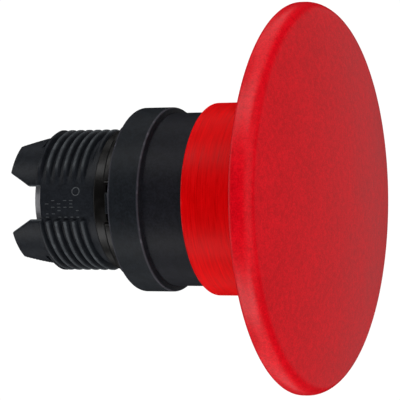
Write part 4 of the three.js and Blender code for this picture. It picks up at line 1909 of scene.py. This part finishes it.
@dataclass
class PadMarks:
    """Small raised moulding marks on the plain pad: short rows of ticks, and one ring."""

    radius: float = 10.1
    rise: float = 0.05
    rows: int = 6
    columns: int = 6
    shift: float = -0.09
    rear: float = -9.6
    row_step: float = 1.05
    column_step: float = 0.52
    stroke: float = 0.13
    length: float = 0.62
    seed: int = 7
    ring_height: float = -4.6
    ring_up: float = 1.8
    ring_size: float = 0.62
    sunk: float = 0.25
    shortest: float = 0.35
    left_out: float = 0.38

    def build(self, finishes: Finishes) -> None:
        """Makes the ticks and the ring.

        Args:
            finishes: the head's finishes.
        """
        self.build_ticks(finishes)
        self.build_ring(finishes)

    def build_ticks(self, finishes: Finishes) -> None:
        """Scatters ticks over a grid of rows with a fixed seed.

        Args:
            finishes: the head's finishes.
        """
        low = Vector((-self.radius - self.rise, -self.length / 2, -self.stroke / 2))
        high = Vector((-self.radius + self.sunk, self.length / 2, self.stroke / 2))
        tick = block("tick", low, high, 0.02)
        rule = Rule("pad_ticks")
        seed = rule.size("Seed", self.seed)
        rows = rule.size("Rows", self.rows)
        columns = rule.size("Columns", self.columns)
        rear = rule.size("Rear", self.rear * MM)
        row_step = rule.size("Row step", self.row_step * MM)
        turn_step = rule.size("Turn step", self.column_step / self.radius)
        shift = rule.size("Shift", self.shift)
        index = rule.index()
        column = rule.math("MODULO", index, columns)
        row = rule.math("FLOOR", index / columns)
        turn = (column - (columns - 1.0) * 0.5) * turn_step + shift
        height = rear + row * row_step
        kept = rule.node(
            "FunctionNodeCompare",
            {"operation": "GREATER_THAN"},
            {0: rule.random(seed), 1: self.left_out},
        )
        spread = rule.node(
            "GeometryNodeSetPosition",
            {},
            {"Geometry": rule.points(rows * columns), "Position": rule.vector(0.0, -height, 0.0)},
        )
        extra = {
            "Selection": kept.outputs[0],
            "Rotation": rule.vector(0.0, turn, 0.0),
            "Scale": rule.vector(1.0, rule.random(seed, self.shortest), 1.0),
        }
        copies = rule.copies(tick, spread.outputs[0], extra)
        ticks = rule.run("threaded_body_ticks", copies, finishes.marks)
        bpy.data.objects.remove(tick)
        carry(ticks, Body.HOUSING, finishes.marks)

    def build_ring(self, finishes: Finishes) -> None:
        """Bends a thin raised ring onto the pad.

        Args:
            finishes: the head's finishes.
        """
        around = np.linspace(0.0, FULL_TURN, 48, endpoint=False)[None, :]
        section = np.array([(-1, -1), (-1, 1), (1, 1), (1, -1), (-1, -1)]) * 0.5
        size = self.ring_size + section[:, :1] * self.stroke
        level = self.radius + np.where(section[:, 1:] > 0, self.rise, -self.sunk)
        up = self.ring_up + size * np.sin(around)
        height = self.ring_height + size * np.cos(around)
        shell = Shell()
        shell.grid(level + 0 * up, FULL_TURN / 4 - up / self.radius, height, True, 0.3)
        ring = shell.mesh("threaded_body_ring_mark")
        carry(ring, Body.HOUSING, finishes.marks)


@dataclass
class SlideFittings:
    """The bush, the rear spring washer and the bump stop inside the neck."""

    bush: Span
    washer: Span
    stop: Span
    bush_bore: float = 6.2
    bush_radius: float = 6.9
    bush_collar: float = 4.9
    washer_hole: float = 6.6
    stop_hole: float = 9.5

    def build(self, finishes: Finishes) -> None:
        """Makes the three pieces.

        Args:
            finishes: the head's finishes.
        """
        outline = [
            (self.bush_bore, self.bush.rear, 0.2),
            (self.bush_radius, self.bush.rear, 0.2),
            (self.bush_radius, self.bush_collar, 0.1),
            (self.bush.radius, self.bush_collar, 0.12),
            (self.bush.radius, self.bush.front, 0.15),
            (self.bush_bore, self.bush.front, 0.2),
        ]
        bush = turned("guide_bush_sleeve", outline, Detail.PLAIN)
        carry(bush, Body.HOUSING, finishes.slide, ["guide_bush"])
        washer = flat_washer("rear_spring_washer_plate", self.washer, self.washer_hole)
        carry(washer, Body.HOUSING, finishes.steel, ["rear_spring_washer"])
        outline = [
            (self.stop_hole, self.stop.rear, 0.15),
            (self.stop.radius, self.stop.rear, 0.15),
            (self.stop.radius - 0.2, self.stop.front, 0.3),
            (self.stop_hole + 0.2, self.stop.front, 0.3),
        ]
        stop = turned("bump_stop_cushion", outline, Detail.PLAIN)
        carry(stop, Body.HOUSING, finishes.rubber, ["bump_stop_ring"])


@dataclass
class ReturnSpring:
    """The compression spring round the stem, with one closed coil at each end."""

    span: Span
    wire: float = 0.55
    turns: float = 7.0
    steps: int = 560
    closed_rise: float = 2.2
    section: int = 14
    keep: float = 0.765

    def build(self, finishes: Finishes) -> None:
        """Makes the spring as one fixed mesh; the real spring shortens as the button is pressed.

        Args:
            finishes: the head's finishes.
        """
        rule = Rule("return_spring_wire")
        coil = rule.size("Coil radius", (self.span.radius - self.wire) * MM)
        wire = rule.size("Wire radius", self.wire * MM)
        turns = rule.size("Turns", self.turns)
        rear = rule.size("Rear", (self.span.rear + self.wire) * MM)
        length = rule.size("Length", (self.span.front - self.span.rear - 2 * self.wire) * MM)
        line = rule.node("GeometryNodeCurvePrimitiveLine", {}, {}).outputs[0]
        dense = rule.node("GeometryNodeResampleCurve", {}, {"Curve": line, "Count": self.steps})
        share = Term(rule, rule.node("GeometryNodeSplineParameter", {}, {}).outputs["Factor"])
        angle = share * turns * FULL_TURN
        closed = 1.0 / turns
        rise = wire * self.closed_rise
        ends = share.least(closed) + (share - (1.0 - closed)).most(0.0)
        between = (share - closed) / (1.0 - closed * 2.0)
        between = Term(rule, rule.node("ShaderNodeClamp", {}, {"Value": between}).outputs[0])
        height = rear + ends / closed * rise + (length - rise * 2.0) * between
        across = coil * rule.math("COSINE", angle)
        up = coil * rule.math("SINE", angle)
        inputs = {"Geometry": dense.outputs[0], "Position": rule.vector(across, -height, up)}
        bent = rule.node("GeometryNodeSetPosition", {}, inputs)
        section = rule.node(
            "GeometryNodeCurvePrimitiveCircle",
            {"mode": "RADIUS"},
            {"Resolution": self.section, "Radius": wire},
        )
        swept = rule.node(
            "GeometryNodeCurveToMesh",
            {},
            {"Curve": bent.outputs[0], "Profile Curve": section.outputs[0], "Fill Caps": True},
        )
        spring = rule.run("return_spring_coil", swept.outputs[0], finishes.steel)
        carry(spring, Body.HOUSING, finishes.steel, ["return_spring"])
        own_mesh(spring)


# ------------------------------------------------------------------ studio


@dataclass(frozen=True)
class SoftBox:
    """One soft rectangular lamp that looks at a point of the head."""

    name: str
    direction: Point3 = (0.0, 0.0, 1.0)
    distance: float = 0.6
    width: float = 0.5
    height: float = 0.3
    power: float = 5.0
    mirrored: bool = True

    def build(self, aim: Vector) -> None:
        """Hangs the lamp.

        Args:
            aim: the point that the lamp looks at.
        """
        lamp = bpy.data.lights.new(self.name, "AREA")
        lamp.shape = "RECTANGLE"
        lamp.size = self.width
        lamp.size_y = self.height
        lamp.energy = self.power
        holder = bpy.data.objects.new(self.name, lamp)
        holder.visible_glossy = self.mirrored
        bpy.context.scene.collection.objects.link(holder)
        towards = Vector(self.direction).normalized()
        holder.location = aim + towards * self.distance
        holder.rotation_mode = "QUATERNION"
        holder.rotation_quaternion = towards.to_track_quat("Z", "Y")


@dataclass
class Studio:
    """White room: a pale floor far below, seven soft lamps, and the camera."""

    aim: Vector = field(default_factory=lambda: Vector((0.0, -0.012, 0.0)))
    turn: float = math.radians(23.9)
    tilt: float = math.radians(2.7)
    roll: float = math.radians(0.316)
    distance: float = 0.400
    drop: float = 0.000117
    lens: float = 231.4
    floor: float = -0.80
    ambient: float = 0.01
    backdrop: float = 1.05
    floor_size: float = 8.0

    def view(self) -> tuple[Vector, Vector, Vector]:
        """The camera's right, up and backward directions.

        Returns:
            The three directions.
        """
        back = Vector(
            (
                -math.cos(self.turn) * math.cos(self.tilt),
                -math.sin(self.turn),
                math.cos(self.turn) * math.sin(self.tilt),
            )
        ).normalized()
        forward = Vector((0.0, -1.0, 0.0))
        right = (forward - back * forward.dot(back)).normalized()
        up = back.cross(right)
        rolled_right = right * math.cos(self.roll) - up * math.sin(self.roll)
        rolled_up = right * math.sin(self.roll) + up * math.cos(self.roll)
        return rolled_right, rolled_up, back

    def build_camera(self) -> None:
        """Sets up the camera."""
        right, up, back = self.view()
        data = bpy.data.cameras.new("view_camera")
        data.sensor_width = 36.0
        data.lens = self.lens
        data.clip_start = 0.01
        data.clip_end = 20.0
        holder = bpy.data.objects.new("view_camera", data)
        holder.matrix_world = Matrix((right, up, back)).transposed().to_4x4()
        holder.matrix_world.translation = self.aim - up * self.drop + back * self.distance
        bpy.context.scene.collection.objects.link(holder)
        bpy.context.scene.camera = holder

    def build_world(self) -> None:
        """Makes the surroundings white to the camera and dimmer to the head."""
        world = bpy.data.worlds.new("white_room")
        bpy.context.scene.world = world
        world.use_nodes = True
        room = Tree(world.node_tree)
        room.tree.nodes.clear()
        white = (1.0, 1.0, 1.0, 1.0)
        seen = room.node("ShaderNodeLightPath", {}, {}).outputs["Is Camera Ray"]
        shown = room.node("ShaderNodeBackground", {}, {0: white, 1: self.backdrop})
        lit = room.node("ShaderNodeBackground", {}, {0: white, 1: self.ambient})
        mix = room.node("ShaderNodeMixShader", {}, {0: seen, 1: lit.outputs[0], 2: shown.outputs[0]})
        room.node("ShaderNodeOutputWorld", {}, {0: mix.outputs[0]})

    def floor_finish(self) -> bpy.types.Material:
        """A pale floor that looks lit but throws little light back at the head.

        Returns:
            The material.
        """
        graph = Graph("floor_white")
        seen = graph.node("ShaderNodeLightPath", {}, {}).outputs["Is Camera Ray"]
        pale = graph.node("ShaderNodeEmission", {}, {"Color": colour(238, 239, 240)})
        matt = graph.node("ShaderNodeBsdfDiffuse", {}, {"Color": colour(120, 120, 120)})
        inputs = {0: seen, 1: matt.outputs[0], 2: pale.outputs[0]}
        return graph.finish(graph.node("ShaderNodeMixShader", {}, inputs))

    def build_floor(self) -> None:
        """Makes the plain pale floor."""
        half = self.floor_size / 2
        mesh = bpy.data.meshes.new("floor")
        corners = [(-half, -half), (half, -half), (half, half), (-half, half)]
        mesh.from_pydata([(x, y, self.floor) for x, y in corners], [], [(0, 1, 2, 3)])
        mesh.materials.append(self.floor_finish())
        link("floor", mesh)

    def build(self) -> None:
        """Makes the room, the lamps and the camera."""
        self.build_world()
        self.build_floor()
        # Name, direction from the head, distance, width, height and power of each.
        lamps = (
            SoftBox("strip_above", (-0.56, 0.00, 0.83), 0.60, 1.10, 0.24, 3.1),
            SoftBox("strip_below", (-0.56, 0.00, -0.83), 0.60, 1.10, 0.28, 3.7),
            SoftBox("overhead", (0.10, -0.10, 1.00), 0.70, 1.00, 0.60, 2.1),
            SoftBox("underneath", (0.10, -0.10, -1.00), 0.70, 1.00, 0.60, 1.7),
            SoftBox("front", (-0.30, -1.00, 0.00), 0.90, 0.90, 0.90, 4.5, mirrored=False),
            SoftBox("far_side", (0.90, -0.45, 0.00), 0.90, 0.90, 0.90, 0.65),
            SoftBox("rear", (-0.30, 0.90, 0.00), 0.90, 0.80, 0.80, 1.7),
        )
        for lamp in lamps:
            lamp.build(self.aim)
        self.build_camera()
        bpy.context.scene.view_settings.view_transform = "Standard"


def main() -> None:
    """Builds every assembly in order."""
    logging.basicConfig(level=logging.INFO, format="%(message)s")
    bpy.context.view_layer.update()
    finishes = Finishes()
    assemblies = [
        MushroomCap(Span.of("mushroom_cap")),
        CapSkirt(Span.of("cap_skirt")),
        CapHub(Span.of("cap_hub"), Span.of("wiper_seal")),
        PlungerStem(
            Span.of("plunger_stem"), Span.of("front_spring_washer"), Span.of("stem_o_ring")
        ),
        PusherRing(Span.of("pusher_ring"), Span.of("pusher_circlip")),
        CapFixing(
            Span.of("cap_screw"), Span.of("screw_lock_washer"), Span.of("threaded_insert")
        ),
        GuideNeck(Span.of("guide_neck"), Span.of("neck_o_ring")),
        BezelRing(Span.of("bezel_ring")),
        PanelGasket(Span.of("panel_gasket")),
        ThreadedBody(Span.of("threaded_body")),
        PadMarks(),
        SlideFittings(
            Span.of("guide_bush"), Span.of("rear_spring_washer"), Span.of("bump_stop_ring")
        ),
        ReturnSpring(Span.of("return_spring")),
    ]
    for assembly in assemblies:
        LOG.info("building %s", type(assembly).__name__)
        assembly.build(finishes)
    Studio().build()


if __name__ == "__main__":
    main()
